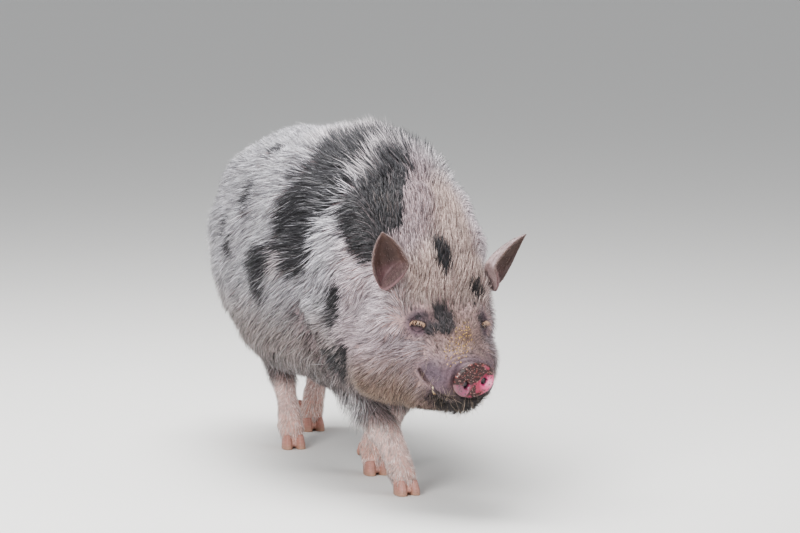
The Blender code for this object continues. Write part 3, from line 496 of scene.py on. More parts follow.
SKIN_PATCHES = (  # dark on the skin only
    ((-80, -44, 96, 14), (-88, -54, 95, 10)),
    ((-106, 72, 104, 15), (-108, 82, 100, 13)),
    ((-112, -66, 110, 9), (-104, -72, 108, 8)),
    ((-61, -30, -50, 14), (-35, -8, -50, 12), (-61, 30, -50, 14)),
)
PATCH_EDGE, HEAD_EDGE_LESS = 0.018, 0.008  # how wide the edge is, and how much less on the head
PATCH_WANDER = 0.006
NAPE = (
    (350, 45, 640), (379, 24, 615), (437, 19, 583), (489, -1, 531), (500, -30, 490),
)
DUST_RUN = ((-72, 10, 83), (-47, -9, 58), (-33, -30, 43))
PALE_AT, ELBOW_AT = (0.235, -0.203, 0.460), (0.312, -0.082, 0.182)
BLACK_SKIN, BLACK_HAIR = (40, 37, 41), (57, 56, 60)


def linear(red, green, blue):
    """A colour given by the numbers of a colour chart, 0 to 255, as light."""
    values = np.array((red, green, blue)) / 255
    return np.where(values < 0.04045, values / 12.92, ((values + 0.055) / 1.055) ** 2.4)


def blended(base, *layers):
    """Chart colours laid one over another, each with how much of it lies at each point."""
    if isinstance(base, tuple):
        base = np.tile(linear(*base), (len(layers[0][1]), 1))
    for over, share in layers:
        base = base + (linear(*over) - base) * np.clip(share, 0, 1)[:, None]
    return base


def wander(points, size, salt=0.0):
    """Soft noise, about -1 to 1, with bumps of this size."""
    return np.array([noise.noise(place) for place in (points / size + salt).tolist()]) * 1.6


def off_patch(points, patch):
    """The same as off_chain, also for a single ball."""
    if len(patch) > 1:
        return off_chain(points, patch)
    ball = np.array(patch[0]) / 1000
    return np.linalg.norm(points - ball[:3], axis=1) - ball[3]


def darkness(points, in_skin=False):
    """How black the pig is at each point, 0 to 1."""
    body, in_head = points - np.array(STAND), inside(HEAD, points)
    off = np.full(len(points), 9.0)
    for patch in BODY_PATCHES:
        off = np.minimum(off, off_patch(body, patch))
    for patch in HEAD_PATCHES + (SKIN_PATCHES if in_skin else ()):
        off = np.minimum(off, off_patch(in_head, patch) + 0.002)
    near = off < 0.08
    drawn = off[near] + PATCH_WANDER * wander(points[near], 0.035) + 0.003 * wander(points[near], 0.011, 7)
    dark = np.zeros(len(points))
    edge = PATCH_EDGE - HEAD_EDGE_LESS * regions(points[near])["head"]
    dark[near] = ease(0, 1, 0.5 - drawn / (2 * edge))
    return dark


def places_on(points):
    """How far each point belongs to crest, jowl, brow, nose bridge and so on."""
    body, in_head = points - np.array(STAND), inside(HEAD, points)
    along, across, up = body.T
    ahead, aside, above = in_head[:, 0], np.abs(in_head[:, 1]), in_head[:, 2]
    uneven = 0.012 * wander(points, 0.03, 17)
    low = ease(0.42, 0.29, up)
    spots = regions(points)
    head = spots["head"]
    off_middle = np.abs(across - 0.06 * ease(0.2, 0.5, along))
    on_back = ease(-0.05, 0.12, along) * ease(0.13, 0.06, off_middle) * ease(0.47, 0.56, up)
    spots["crest"] = on_back * (1 - head * ease(-0.22, -0.17, ahead))
    spots["nape"] = ease(0.065, 0.020, off_line(body, NAPE))
    spots["pale"] = ease(0.045, 0.018, np.linalg.norm(body - PALE_AT, axis=1))
    spots["ruff"] = ease(0.26, 0.40, along) * ease(0.26, 0.36, up)
    spots["belly"] = low * (1 - head)
    spots["rump"] = ease(-0.25, -0.45, along)
    spots["tail"] = ease(-0.560, -0.580, along)
    spots["foot"] = ease(0.090, 0.045, up) * spots["shank"]
    spots["elbow"] = ease(0.055, 0.025, np.linalg.norm(body - ELBOW_AT, axis=1))
    # Painted shade in the fold where the right foreleg parts from the flank.
    spots["fold"] = ease(0.024, 0.004, off_line(body, ARM_FOLD))
    spots["low_face"] = low * head
    spots["jowl"] = head * ease(0.060, -0.030, above) * ease(-0.05, -0.10, ahead)
    spots["brow"] = head * ease(0.085, 0.140, above) * ease(0.115, 0.075, aside)
    # The eye spot carries painted shade, dark purple-grey, round each eye.
    spots["eye"] = ease(0.036, 0.020, off_eyes(points))
    bridge = ease(-0.150, -0.100, ahead) * ease(0.070, 0.045, aside)
    spots["bridge"] = head * bridge * ease(0.140, 0.110, above)
    spots["dust"] = ease(0.034, 0.004, off_line(in_head, DUST_RUN))
    spots["snout"] = head * np.maximum(
        ease(-0.086, -0.056, ahead + uneven) * ease(0.060, 0.022, above + uneven),
        0.8 * ease(-0.036, -0.018, ahead + uneven),
    )
    # The chin is near-black: painted shade under the nose disc, together with the dark earth caked there.
    spots["chin"] = head * ease(-0.095, -0.050, ahead) * ease(-0.016, -0.034, above)
    # Painted shade under the jowls, where the throat lies in shadow.
    throat = ease(-0.28, -0.22, ahead) * ease(0.085, 0.045, aside)
    spots["throat"] = head * throat * ease(-0.020, -0.055, above)
    return spots


def hair_colour(points, spots):
    fade, streak = wander(points, 0.09, 3), wander(points, 0.018, 13)
    furred = (1 - spots["shank"]) * (1 - 0.6 * spots["head"])
    return blended(
        (222, 219, 225),
        ((255, 254, 255), spots["rump"] * 0.9),
        ((166, 161, 168), ease(0.0, 0.9, fade) * 0.5),
        ((196, 186, 186), spots["crest"] * 0.65),
        ((216, 200, 200), spots["pale"] * 0.6),
        ((217, 202, 207), spots["head"] * 0.85),
        ((176, 156, 160), spots["low_face"] * 0.72),
        ((190, 168, 157), spots["brow"] * 0.85),
        ((152, 136, 142), spots["nape"] * 0.8),
        ((146, 122, 102), spots["jowl"] * 0.85),
        ((120, 97, 86), spots["bridge"] * 0.8),
        ((146, 112, 76), spots["dust"] * 0.45),
        # painted shade round the eyes
        ((84, 62, 74), spots["eye"] * 0.85),
        ((98, 80, 92), spots["snout"] * 0.9),
        # painted shade under the jowls
        ((80, 61, 49), spots["throat"] * 0.8),
        # the chin: painted shade under the disc, and dark earth
        ((27, 20, 18), spots["chin"] * 0.95),
        ((146, 124, 114), spots["belly"] * 0.75),
        ((118, 110, 116), spots["leg"] * (1 - spots["shank"]) * 0.5),
        # painted shade in the arm's fold
        ((74, 66, 67), spots["fold"] * 0.6),
        ((236, 232, 234), spots["elbow"] * 0.8),
        ((246, 232, 228), spots["shank"] * 0.95),
        ((112, 104, 106), ease(0.25, 0.8, streak) * 0.35 * furred),
    )


def skin_colour(points, spots):
    fade = ease(-0.3, 0.8, wander(points, 0.03, 5))
    return blended(
        (142, 124, 126),
        ((156, 130, 128), spots["head"]),
        # painted shade round the eyes
        ((72, 48, 64), spots["eye"] * 0.9),
        ((130, 104, 90), spots["jowl"] * 0.6),
        ((128, 102, 98), spots["bridge"] * 0.6),
        ((66, 50, 66), spots["snout"] * (0.75 + 0.25 * fade)),
        # painted shade: a dark band on the skin just behind the nose disc, in the crease where the pad
        # meets the snout
        ((70, 48, 50), bell(inside(disc_frame, points)[:, 0], 0.0035, -0.014) * 0.7),  # round the disc
        # the chin: painted shade under the disc, and dark earth
        ((24, 16, 15), spots["chin"] * 0.97),
        ((200, 166, 158), spots["shank"] * 0.9),
        ((196, 148, 132), spots["foot"] * 0.7),
        ((128, 112, 112), fade * 0.25),
    )


def coloured(obj, colours, name="pelt"):
    """Keeps a colour for each vertex."""
    layer = obj.data.attributes.new(name, "FLOAT_COLOR", "POINT")
    full = np.ones((len(colours), 4), np.float32)
    full[:, :3] = colours
    layer.data.foreach_set("color", full.ravel())


points = points_of(hide)
dark = darkness(points, True)
# Painted shade in the creases of the lids and in the opening under each eyeball.
lid_crease_shade = np.zeros(len(points))
for side, _ in SIDES:
    place = inside(eye_frame(side), points)
    ring = np.hypot(place[:, 1] / EYE_HALF_WIDTH, (place[:, 2] - 0.0002) / 0.0062)
    lid_crease_shade = np.maximum(lid_crease_shade, bell(ring, 0.28, 1.0) * (place[:, 0] > 0))
    lid_crease_shade = np.maximum(lid_crease_shade, 0.9 * (ring < 1) * (place[:, 0] > 0))
skin = blended(
    skin_colour(points, places_on(points)),
    (BLACK_SKIN, dark * 0.92),
    # painted shade in the crease where the lips meet
    ((46, 28, 28), bell(off_line(mirrored(inside(HEAD, points)), MOUTH), 0.0046)),  # the line of the mouth
    # the painted shade of the lid creases
    ((48, 34, 34), lid_crease_shade * 0.9),
)
coloured(hide, skin)

# ---------------------------------------------------------------- materials
# Skin, hair, horn and eye are each one glossy or matt stuff, coloured by the points of the mesh.
# A fine mottle that all of them share makes the colour uneven, and its grain raises the skin.


def node_in(tree, kind, links=(), **values):
    """A new node, its inputs set or linked by their names."""
    made = tree.nodes.new(kind)
    for key, value in values.items():
        if hasattr(made, key):
            setattr(made, key, value)
        else:
            made.inputs[key.replace("_", " ")].default_value = value
    for socket, source in dict(links).items():
        tree.links.new(source, made.inputs[socket])
    return made


mottle = bpy.data.node_groups.new("mottle", "ShaderNodeTree")
for label, kind, value in (
    ("Colour", "NodeSocketColor", (1, 1, 1, 1)),
    ("Size", "NodeSocketFloat", 60.0),
    ("Depth", "NodeSocketFloat", 0.3),
):
    mottle.interface.new_socket(label, in_out="INPUT", socket_type=kind).default_value = value
mottle.interface.new_socket("Colour", in_out="OUTPUT", socket_type="NodeSocketColor")
mottle.interface.new_socket("Grain", in_out="OUTPUT", socket_type="NodeSocketFloat")
given, result = mottle.nodes.new("NodeGroupInput"), mottle.nodes.new("NodeGroupOutput")
place = node_in(mottle, "ShaderNodeTexCoord")
noise_links = {"Vector": place.outputs["Object"], "Scale": given.outputs["Size"]}
grain = node_in(mottle, "ShaderNodeTexNoise", noise_links, Detail=4.0, Roughness=0.65)
evened = {"From_Min": 0.3, "From_Max": 0.7, "To_Min": -1.0}
spread = node_in(mottle, "ShaderNodeMapRange", {"Value": grain.outputs["Fac"]}, **evened)
parts = {0: spread.outputs["Result"], 1: given.outputs["Depth"]}
amount = node_in(mottle, "ShaderNodeMath", parts, operation="MULTIPLY")
factor = node_in(mottle, "ShaderNodeMath", {0: amount.outputs["Value"]}, operation="ADD")
factor.inputs[1].default_value = 1.0
parts = {0: given.outputs["Colour"], "Scale": factor.outputs["Value"]}
scaled = node_in(mottle, "ShaderNodeVectorMath", parts, operation="SCALE")
mottle.links.new(scaled.outputs["Vector"], result.inputs["Colour"])
mottle.links.new(grain.outputs["Fac"], result.inputs["Grain"])


def material_of(name, size, depth, bump, **settings):
    """A material coloured by the mesh, mottled, and roughened by the same grain."""
    made = bpy.data.materials.new(name)
    made.use_nodes = True
    tree = made.node_tree
    shader = tree.nodes["Principled BSDF"]
    for key, value in settings.items():
        shader.inputs[key.replace("_", " ")].default_value = value
    pelt = node_in(tree, "ShaderNodeAttribute", attribute_name="pelt")
    mixed = node_in(tree, "ShaderNodeGroup", node_tree=mottle)
    mixed.inputs["Size"].default_value = size
    mixed.inputs["Depth"].default_value = depth
    tree.links.new(pelt.outputs["Color"], mixed.inputs["Colour"])
    tree.links.new(mixed.outputs["Colour"], shader.inputs["Base Color"])
    if bump:
        height = {"Height": mixed.outputs["Grain"]}
        raised = node_in(tree, "ShaderNodeBump", height, Strength=0.6, Distance=bump)
        tree.links.new(raised.outputs["Normal"], shader.inputs["Normal"])
    return made


hide.data.materials.append(material_of("hide", 260.0, 0.38, 0.0028, Roughness=0.62))
bristle = material_of("bristle", 300.0, 0.22, 0, Roughness=0.50)

# ---------------------------------------------------------------- eyes
# Small dark brown eyes, wet, with a wide pupil and a little reddish white round the iris. Each
# is a ball that bulges a little over the iris, and the lids of the hide lie on it.
EYE_IRIS, EYE_PUPIL = 0.0084, 0.0040
EYE_BULGE, EYE_BULGE_WIDTH = 0.0007, 0.0062
wet = material_of("wet_eye", 900.0, 0.25, 0, Roughness=0.08, Coat_Weight=1.0, Coat_Roughness=0.03)
for side, name in SIDES:
    deselected()
    bpy.ops.mesh.primitive_uv_sphere_add(segments=64, ring_count=48, radius=EYEBALL_RADIUS)
    eye = bpy.context.object
    eye.name = f"eyeball_{name}"
    round_points = points_of(eye)
    off_axis = np.hypot(round_points[:, 1], round_points[:, 2])
    front = round_points[:, 0] > 0
    bulge = np.where(front, EYE_BULGE * bell(off_axis, EYE_BULGE_WIDTH), 0)
    iris = ease(EYE_IRIS + 0.0004, EYE_IRIS - 0.0006, off_axis) * front
    pupil = ease(EYE_PUPIL + 0.0003, EYE_PUPIL - 0.0003, off_axis) * front
    coloured(eye, blended((112, 84, 78), ((58, 34, 20), iris), ((8, 6, 6), pupil)))
    moved_to(eye, outside(eye_frame(side), round_points * (1 + bulge / EYEBALL_RADIUS)[:, None]))
    shaded_smooth(eye, wet)
    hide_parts(f"eye_{name}")
    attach(eye, "root")

# ---------------------------------------------------------------- ears
# Upright cups of skin, brown and bare inside with a darker middle, pinkish grey outside. They
# are the frame's own ears, with their edges worn round.
EAR_VOXEL, EAR_ROUNDS = 0.0016, 24
EAR_ROOT = (-0.144, 0.106, 0.180)  # in the head, on the left
EAR_SPREAD, EAR_LEAN, EAR_FACING = math.radians(28), math.radians(17), math.radians(38)
ear_leather = material_of("ear_leather", 260.0, 0.30, 0.0010, Roughness=0.58)


def ear_frame(side):
    return (
        HEAD
        @ Matrix.Translation((EAR_ROOT[0], side * EAR_ROOT[1], EAR_ROOT[2]))
        @ Matrix.Rotation(-side * EAR_SPREAD, 4, "X")
        @ Matrix.Rotation(EAR_LEAN, 4, "Y")
        @ Matrix.Rotation(side * EAR_FACING, 4, "Z")
    )


ears = {}
for side, name in SIDES:
    ear = copied((f"ear_{name}",), f"ear_{name}_skin")
    remeshed(ear, EAR_VOXEL)
    smoothed(ear, EAR_ROUNDS)
    _, across, up = inside(ear_frame(side), points_of(ear)).T
    facing = normals_of(ear) @ axes(ear_frame(side))
    within = ease(0.0, 0.5, facing[:, 0])
    patchy = ease(-0.5, 0.6, wander(points_of(ear), 0.012, 8))
    leather = blended(
        (160, 140, 140),
        ((128, 112, 114), ease(0.0, 0.09, up) * 0.7),
        ((82, 62, 58), within),
        ((87, 67, 60), within * patchy * 0.6),
        ((56, 41, 38), within * (bell(across, 0.015) * ease(0.11, 0.05, up)) * 0.8),
        ((128, 98, 102), within * ease(0.035, 0.005, up) * 0.6),
        ((84, 64, 64), ease(0.35, 0.75, facing[:, 2]) * ease(0.055, 0.030, up) * 0.7),
    )
    coloured(ear, leather)
    shaded_smooth(ear, ear_leather)
    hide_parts(f"ear_{name}")
    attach(ear, "root")
    ears[side] = ear

# ---------------------------------------------------------------- nose disc
# The round end of the snout is a thick pad of bare pink skin with two nostrils through it,
# caked with dry brown earth over its upper half and between the nostrils. Painted shade lies in the
# nostrils and round the pad's edge, and painted light in a highlight on one lobe and glints on the earth.
DISC_HALF_WIDTH, DISC_ABOVE, DISC_BELOW, DISC_THICKNESS = 0.0435, 0.0370, 0.0350, 0.012
NOSTRIL_AT, NOSTRIL_REACH, NOSTRIL_DEPTH = (0.0190, -0.003), (0.0062, 0.0085), 0.0090
LOBE_AT, LOBE_REACH = (0.0270, -0.0100), (0.0155, 0.0180)
RIM_HEIGHT, LOBE_HEIGHT, NOTCH_DEPTH, SKIN_HEIGHT, CRUMB_HEIGHT = 0.0018, 0.0026, 0.0014, 0.0007, 0.0011
# Where the painted highlight lies on the pig's left lobe, and how far it reaches.
PAINTED_HIGHLIGHT_AT, PAINTED_HIGHLIGHT_REACH = (0.0300, -0.0070), (0.0065, 0.0080)
deselected()
bpy.ops.mesh.primitive_uv_sphere_add(segments=200, ring_count=140, radius=1, rotation=(0, math.pi / 2, 0))
bpy.ops.object.transform_apply(location=False, rotation=True, scale=False)
disc = bpy.context.object
disc.name = "nose_pad"
ball = points_of(disc)
turn = np.arctan2(ball[:, 2], ball[:, 1])
rim = np.clip(np.hypot(ball[:, 1], ball[:, 2]), 0, 1) ** 0.75
tall = np.where(np.sin(turn) > 0, DISC_ABOVE, DISC_BELOW)
across, up = DISC_HALF_WIDTH * np.cos(turn) * rim, tall * np.sin(turn) * rim
flat = np.stack((across * 0, across, up), 1)
pits, lobes = np.zeros(len(ball)), np.zeros(len(ball))


def off_round(side, at, reach):
    """1 on the edge of an oval of the disc's face, less inside it."""
    return np.hypot((across - side * at[0]) / reach[0], (up - at[1]) / reach[1])


for side, _ in SIDES:
    pits = np.maximum(pits, ease(1.25, 0.50, off_round(side, NOSTRIL_AT, NOSTRIL_REACH)))
    lobes = np.maximum(lobes, ease(1.3, 0.6, off_round(side, LOBE_AT, LOBE_REACH)))
earth = 1.1 * ease(-0.012, 0.020, up) + 0.8 * bell(across, 0.0095) - 0.9 * lobes
earth += 0.75 * ease(0.004, -0.020, across) * ease(-0.024, -0.004, up)
earth += 0.80 * wander(flat, 0.016, 2) + 0.45 * wander(flat, 0.0065, 6)
earth = ease(0.25, 0.85, earth)
crumbs = earth * ease(-0.10, 0.60, wander(flat, 0.0060, 4) + 0.9 * wander(flat, 0.0027, 5))
swell = (
    RIM_HEIGHT * bell(rim, 0.07, 0.88)
    + LOBE_HEIGHT * lobes
    - NOTCH_DEPTH * bell(across, 0.003) * ease(0.0, 0.02, up)
    + SKIN_HEIGHT * wander(flat, 0.012)
    + CRUMB_HEIGHT * crumbs
    - NOSTRIL_DEPTH * pits
)
pad = DISC_THICKNESS / 2 * (np.sqrt(1 - rim**6) * np.sign(ball[:, 0]) - 1) + (ball[:, 0] > 0) * swell
# A painted highlight: a pale pink spot on the left lobe stands in for the wet shine of the skin.
painted_highlight = bell(across, PAINTED_HIGHLIGHT_REACH[0], PAINTED_HIGHLIGHT_AT[0]) * bell(up, PAINTED_HIGHLIGHT_REACH[1], PAINTED_HIGHLIGHT_AT[1])
specks = ease(0.45, 0.75, wander(flat, 0.0045, 23))
disc_colours = blended(
    (146, 36, 66),
    ((202, 60, 120), lobes * 0.8),
    # the painted highlight on the left lobe
    ((246, 190, 212), painted_highlight * 0.5),
    ((138, 54, 74), ease(0.0, 0.7, wander(flat, 0.013, 9)) * 0.7),
    ((94, 34, 62), ease(0.008, -0.030, across) * 0.85),
    # painted shade round the pad's edge, where it meets the snout
    ((110, 70, 76), bell(rim, 0.08, 1.0)),
    ((44, 20, 17), earth * 0.92),
    ((138, 68, 62), np.maximum(earth, 0.15) * ease(0.35, 0.7, wander(flat, 0.0042, 21)) * 0.55),
    ((34, 17, 15), np.maximum(crumbs, 0.9 * specks) * 0.9),
    # painted glints: small pale dots on the earth stand in for highlights
    ((232, 186, 176), earth * ease(0.62, 0.80, wander(flat, 0.0026, 27)) * 0.5),
    # painted shade inside the nostrils
    ((40, 20, 32), ease(0.2, 0.8, pits)),
)
coloured(disc, disc_colours)
coloured(disc, np.repeat(np.clip(0.25 + lobes - 0.9 * earth, 0, 1)[:, None], 3, 1), "wet")
moved_to(disc, outside(disc_frame, np.stack((pad, across, up), 1)))
nose_skin = material_of("nose_skin", 700.0, 0.16, 0.0008, Roughness=0.34, Coat_Roughness=0.14)
wetness = node_in(nose_skin.node_tree, "ShaderNodeAttribute", attribute_name="wet")
nose_shader = nose_skin.node_tree.nodes["Principled BSDF"]
nose_skin.node_tree.links.new(wetness.outputs["Color"], nose_shader.inputs["Coat Weight"])
shaded_smooth(disc, nose_skin)
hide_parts("nose_disc")
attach(disc, "root")

# ---------------------------------------------------------------- tusks and claws
# Short ivory tusks, stained at the root, and claws of horn, pink to brown and paler at the tip.
# Both are the frame's own forms, with their edges worn round.
TUSK_VOXEL, CLAW_VOXEL, HORN_ROUNDS = 0.0005, 0.0010, 10
TIP_REACH = 0.016  # how far up a claw its tip's colour goes
ivory = material_of("ivory", 400.0, 0.20, 0, Roughness=0.32)
horn = material_of("horn", 350.0, 0.25, 0.0006, Roughness=0.42)


def tusk_colours(place):
    tip = ease(place[:, 2].min(), place[:, 2].max(), place[:, 2])
    return blended((132, 104, 70), ((222, 206, 170), tip))


def claw_colours(place):
    low = ease(place[:, 2].min() + TIP_REACH, place[:, 2].min(), place[:, 2])
    ring = 0.5 + 0.5 * wander(place * (0.3, 0.3, 3.0), 0.004, 3)
    return blended((172, 124, 112), ((128, 90, 80), ring * 0.55), ((160, 132, 112), low * 0.7))


for node in sorted(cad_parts):
    if "tusk" not in node and "claw" not in node:
        continue
    is_tusk = node.startswith("tusk")
    part = copied((node,), f"{node}_horn")
    remeshed(part, TUSK_VOXEL if is_tusk else CLAW_VOXEL)
    smoothed(part, HORN_ROUNDS)
    coloured(part, tusk_colours(points_of(part)) if is_tusk else claw_colours(points_of(part)))
    shaded_smooth(part, ivory if is_tusk else horn)
    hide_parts(node)
    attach(part, "root")

# ---------------------------------------------------------------- coat
# A kunekune's coat is long, soft and a little wavy. Each tuft is a thin closed blade of a few
# hairs, flat side out, that leaves the skin along the lie of the coat, keeps to its clump, and
# tapers to a point.
KINDS = {  # to the square metre, and in metres: length, width at the root, lift of the tip
    "trunk": (60000, 0.044, 0.00138, 0.012),
    "rump": (60000, 0.038, 0.00136, 0.010),
    "crest": (62000, 0.070, 0.00128, 0.028),
    "ruff": (60000, 0.054, 0.00130, 0.016),
    "belly": (40000, 0.050, 0.00170, 0.014),
    "head": (100000, 0.029, 0.00106, 0.010),
    "jowl": (88000, 0.035, 0.00116, 0.012),
    "brow": (104000, 0.029, 0.00104, 0.011),
    "bridge": (140000, 0.013, 0.00085, 0.0035),
    "eye": (60000, 0.009, 0.00080, 0.003),
    "snout": (50000, 0.009, 0.00060, 0.0020),
    "chin": (90000, 0.024, 0.00095, 0.009),
    "leg": (64000, 0.035, 0.00135, 0.011),
    "elbow": (60000, 0.052, 0.00120, 0.026),
    "shank": (110000, 0.013, 0.00078, 0.0035),
    "foot": (120000, 0.016, 0.00085, 0.004),
    "tail": (110000, 0.032, 0.00120, 0.006),
}
DENSITY, LENGTH, WIDTH, LIFT = range(4)
BELOW_HEAD = ("rump", "leg", "elbow", "belly")
LIES = {
    "trunk": (-1.00, 0, -0.20),
    "leg": (-0.25, 0, -1.00),
    "head": (-1.00, 0, -0.35),
    "tail": (-0.30, 0, -1.00),
}
CLUMP_SHARE, CLUMP_PULL, CLUMP_STEPS = 10, 0.45, 4  # tufts to a clump, how far it draws them in
BARE_RIM = -0.009  # no hair ahead of this in the disc's frame
ROOT_DEPTH = 0.001
MAP_VOXEL, MAP_TUFT = 0.018, 0.003
LONG_FROM = 0.4  # from this share of a long kind on, a tuft has three steps and not two
PER_PIECE = {2: 17000, 3: 11500}  # tufts to a mesh, by their steps
# Each tuft runs from dark at the root to light at the tip: painted shade deep in the coat and painted
# light on the tips. Shanks and head get less of the shade.
ROOT_PAINTED_SHADE, SHANK_ROOT_MORE, HEAD_ROOT_MORE, TIP_PAINTED_LIGHT = 0.37, 0.38, 0.10, 1.35
rng = np.random.default_rng(20)


def tree_of(obj):
    return BVHTree.FromObject(obj, bpy.context.evaluated_depsgraph_get())


def nearest_on(tree, points):
    """The nearest places on a surface and its direction there."""
    found = [tree.find_nearest(place)[:2] for place in points.tolist()]
    return np.array([f[0] for f in found]), np.array([f[1] for f in found])


def unit(vectors):
    return vectors / np.maximum(np.linalg.norm(vectors, axis=-1), 1e-9)[..., None]


def flattened(ways, normals):
    """Directions laid along the skin."""
    return unit(ways - (ways * normals).sum(-1)[..., None] * normals)


def mixed_kinds(spots, column):
    """A number of the kinds of coat, blended where they meet."""
    value = np.full(len(spots["head"]), KINDS["trunk"][column])
    for kind in list(KINDS)[1:]:
        off_head = (1 - spots["head"]) if kind in BELOW_HEAD else 1
        value = value + (KINDS[kind][column] - value) * spots[kind] * off_head
    return value


def lie(points, normals, spots):
    """The way the coat lies at each point."""
    ways = np.tile(np.array(LIES["trunk"]), (len(points), 1))
    for kind in list(LIES)[1:]:
        ways += (np.array(LIES[kind]) - ways) * spots[kind][:, None]
    ways[:, 2] -= 0.5 * np.abs(normals[:, 1]) * (1 - spots["leg"])
    ways[:, 2] += 2.2 * spots["brow"] + 0.8 * spots["bridge"] * (1 - spots["brow"])
    ways[:, 2] += 0.25 * spots["crest"] * (1 - spots["head"])
    for axis in range(3):
        ways[:, axis] += 0.38 * wander(points, 0.075, 11 + 5 * axis)
        ways[:, axis] += 0.16 * wander(points, 0.022, 31 + 5 * axis)
    return flattened(ways, normals)


def scattered(obj, density):
    """Roots drawn at random over a surface, as many to the square metre as density says."""
    obj.data.calc_loop_triangles()
    corners = np.empty(len(obj.data.loop_triangles) * 3, np.int32)
    obj.data.loop_triangles.foreach_get("vertices", corners)
    corners = points_of(obj)[corners.reshape(-1, 3)]
    cross = np.cross(corners[:, 1] - corners[:, 0], corners[:, 2] - corners[:, 0])
    area = np.linalg.norm(cross, axis=1) / 2
    counts = rng.poisson(area * density(corners.mean(1), unit(cross)))
    chosen = np.repeat(np.arange(len(area)), counts)
    first, second = np.sqrt(rng.random(len(chosen)))[:, None], rng.random(len(chosen))[:, None]
    a, b, c = corners[chosen].transpose(1, 0, 2)
    return (1 - first) * a + first * (1 - second) * b + first * second * c, unit(cross[chosen])


def coat_density(points, normals):
    """As the kinds say, and none in the eye openings, between the lips and under the nose disc."""
    dense = mixed_kinds(places_on(points), DENSITY)
    for side, _ in SIDES:
        out, across, up = inside(eye_frame(side), points).T
        dense[(out > -0.005) & (np.hypot(across / 0.0135, up / 0.0068) < 1)] = 0
    dense[inside(disc_frame, points)[:, 0] > BARE_RIM] = 0
    in_head = inside(HEAD, points)
    dense[(in_head[:, 0] > -0.006) | (off_line(mirrored(in_head), MOUTH) < 0.0035)] = 0
    return dense * ease(0.026, 0.031, points[:, 2])


def walked(tree, roots, normals, ways, lengths, lifts, steps):
    """Each tuft's middle line from root to tip, and the skin's direction beside it."""
    here, way = roots, ways
    lines, sides = [roots - normals * ROOT_DEPTH], [normals]
    for step in range(1, steps + 1):
        here, up = nearest_on(tree, here + way * (lengths / steps)[:, None])
        way = flattened(way, up)
        lines.append(here + up * (lifts * (step / steps) ** 1.3)[:, None])
        sides.append(up)
    return np.stack(lines, 1), np.stack(sides, 1)


def blade_faces(rings):
    """The triangles of one blade: its butt, its three sides ring by ring, and its point."""
    faces = [(0, 1, 2)]
    for ring in range(rings - 1):
        for corner in range(3):
            a, b = ring * 3 + corner, ring * 3 + (corner + 1) % 3
            faces += [(a, a + 3, b + 3), (a, b + 3, b)]
    last = (rings - 1) * 3
    return np.array(faces + [(last + corner, rings * 3, last + (corner + 1) % 3) for corner in range(3)])


def tuft_mesh(name, lines, sides, widths, shades, tips, slot="bristled_skin"):
    """One mesh of closed three-sided blades along these lines."""
    count, rings = lines.shape[0], lines.shape[1] - 1
    ways = np.empty_like(lines)
    ways[:, 1:-1] = lines[:, 2:] - lines[:, :-2]
    ways[:, 0], ways[:, -1] = lines[:, 1] - lines[:, 0], lines[:, -1] - lines[:, -2]
    across = unit(np.cross(sides, unit(ways)))
    under = np.cross(across, unit(ways))[:, :rings]
    across, trunk = across[:, :rings], lines[:, :rings]
    share = np.arange(rings) / rings
    shape = (1 - 0.55 * share**1.5) * np.where(share == 0, 0.75, 1)
    half = (widths[:, None] * shape[None] / 2)[..., None]
    blade = np.stack((trunk + across * half, trunk - across * half, trunk + under * (half * 0.8)), 2)
    points = np.concatenate((blade.reshape(count, rings * 3, 3), lines[:, -1:]), 1)
    faces = blade_faces(rings)
    corners = (faces[None] + (np.arange(count) * points.shape[1])[:, None, None]).reshape(-1)
    mesh = bpy.data.meshes.new(name)
    mesh.vertices.add(count * points.shape[1])
    mesh.vertices.foreach_set("co", points.reshape(-1).astype(np.float32))
    mesh.loops.add(len(corners))
    mesh.loops.foreach_set("vertex_index", corners.astype(np.int32))
    mesh.polygons.add(len(corners) // 3)
    mesh.polygons.foreach_set("loop_start", np.arange(0, len(corners), 3, dtype=np.int32))
    mesh.update(calc_edges=True)
    obj = linked(name, mesh)
    along = np.append(np.repeat(share, 3), 1.0)
    coloured(obj, (shades[:, None] + (tips - shades)[:, None] * along[None, :, None]).reshape(-1, 3))
    patch = np.stack((np.append(np.tile((0, 1, 0.5), rings), 0.5), along), 1) - 0.5
    layer = mesh.uv_layers.new(name="OFBake")
    spread = on_map(lines[:, 0])[:, None] + MAP_TUFT * patch[faces.reshape(-1)][None]
    layer.data.foreach_set("uv", spread.reshape(-1).astype(np.float32))
    mesh.materials.append(bristle)
    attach(obj, "root")


# Each tuft has its place on a flat map of the skin's own shape.
cloth = linked("flat_map", hide.data.copy())
remeshed(cloth, MAP_VOXEL)
edited(cloth, bpy.ops.uv.smart_project, angle_limit=math.radians(66), island_margin=0.01)
cloth_tree = tree_of(cloth)
cloth_uv = numbers(cloth.data.uv_layers.active.data, "uv", 2)
cloth_points = points_of(cloth)
cloth_faces = [(face.loop_start, list(face.vertices)) for face in cloth.data.polygons]
bpy.data.objects.remove(cloth)


def on_map(roots):
    """Where each root lies on the flat map."""
    spots = np.empty((len(roots), 2))
    for i, root in enumerate(roots.tolist()):
        near, _, index, _ = cloth_tree.find_nearest(root)
        start, corners = cloth_faces[index]
        weights = 1 / (np.linalg.norm(cloth_points[corners] - near, axis=1) + 0.001)
        spots[i] = weights @ cloth_uv[start : start + len(corners)] / weights.sum()
    return spots


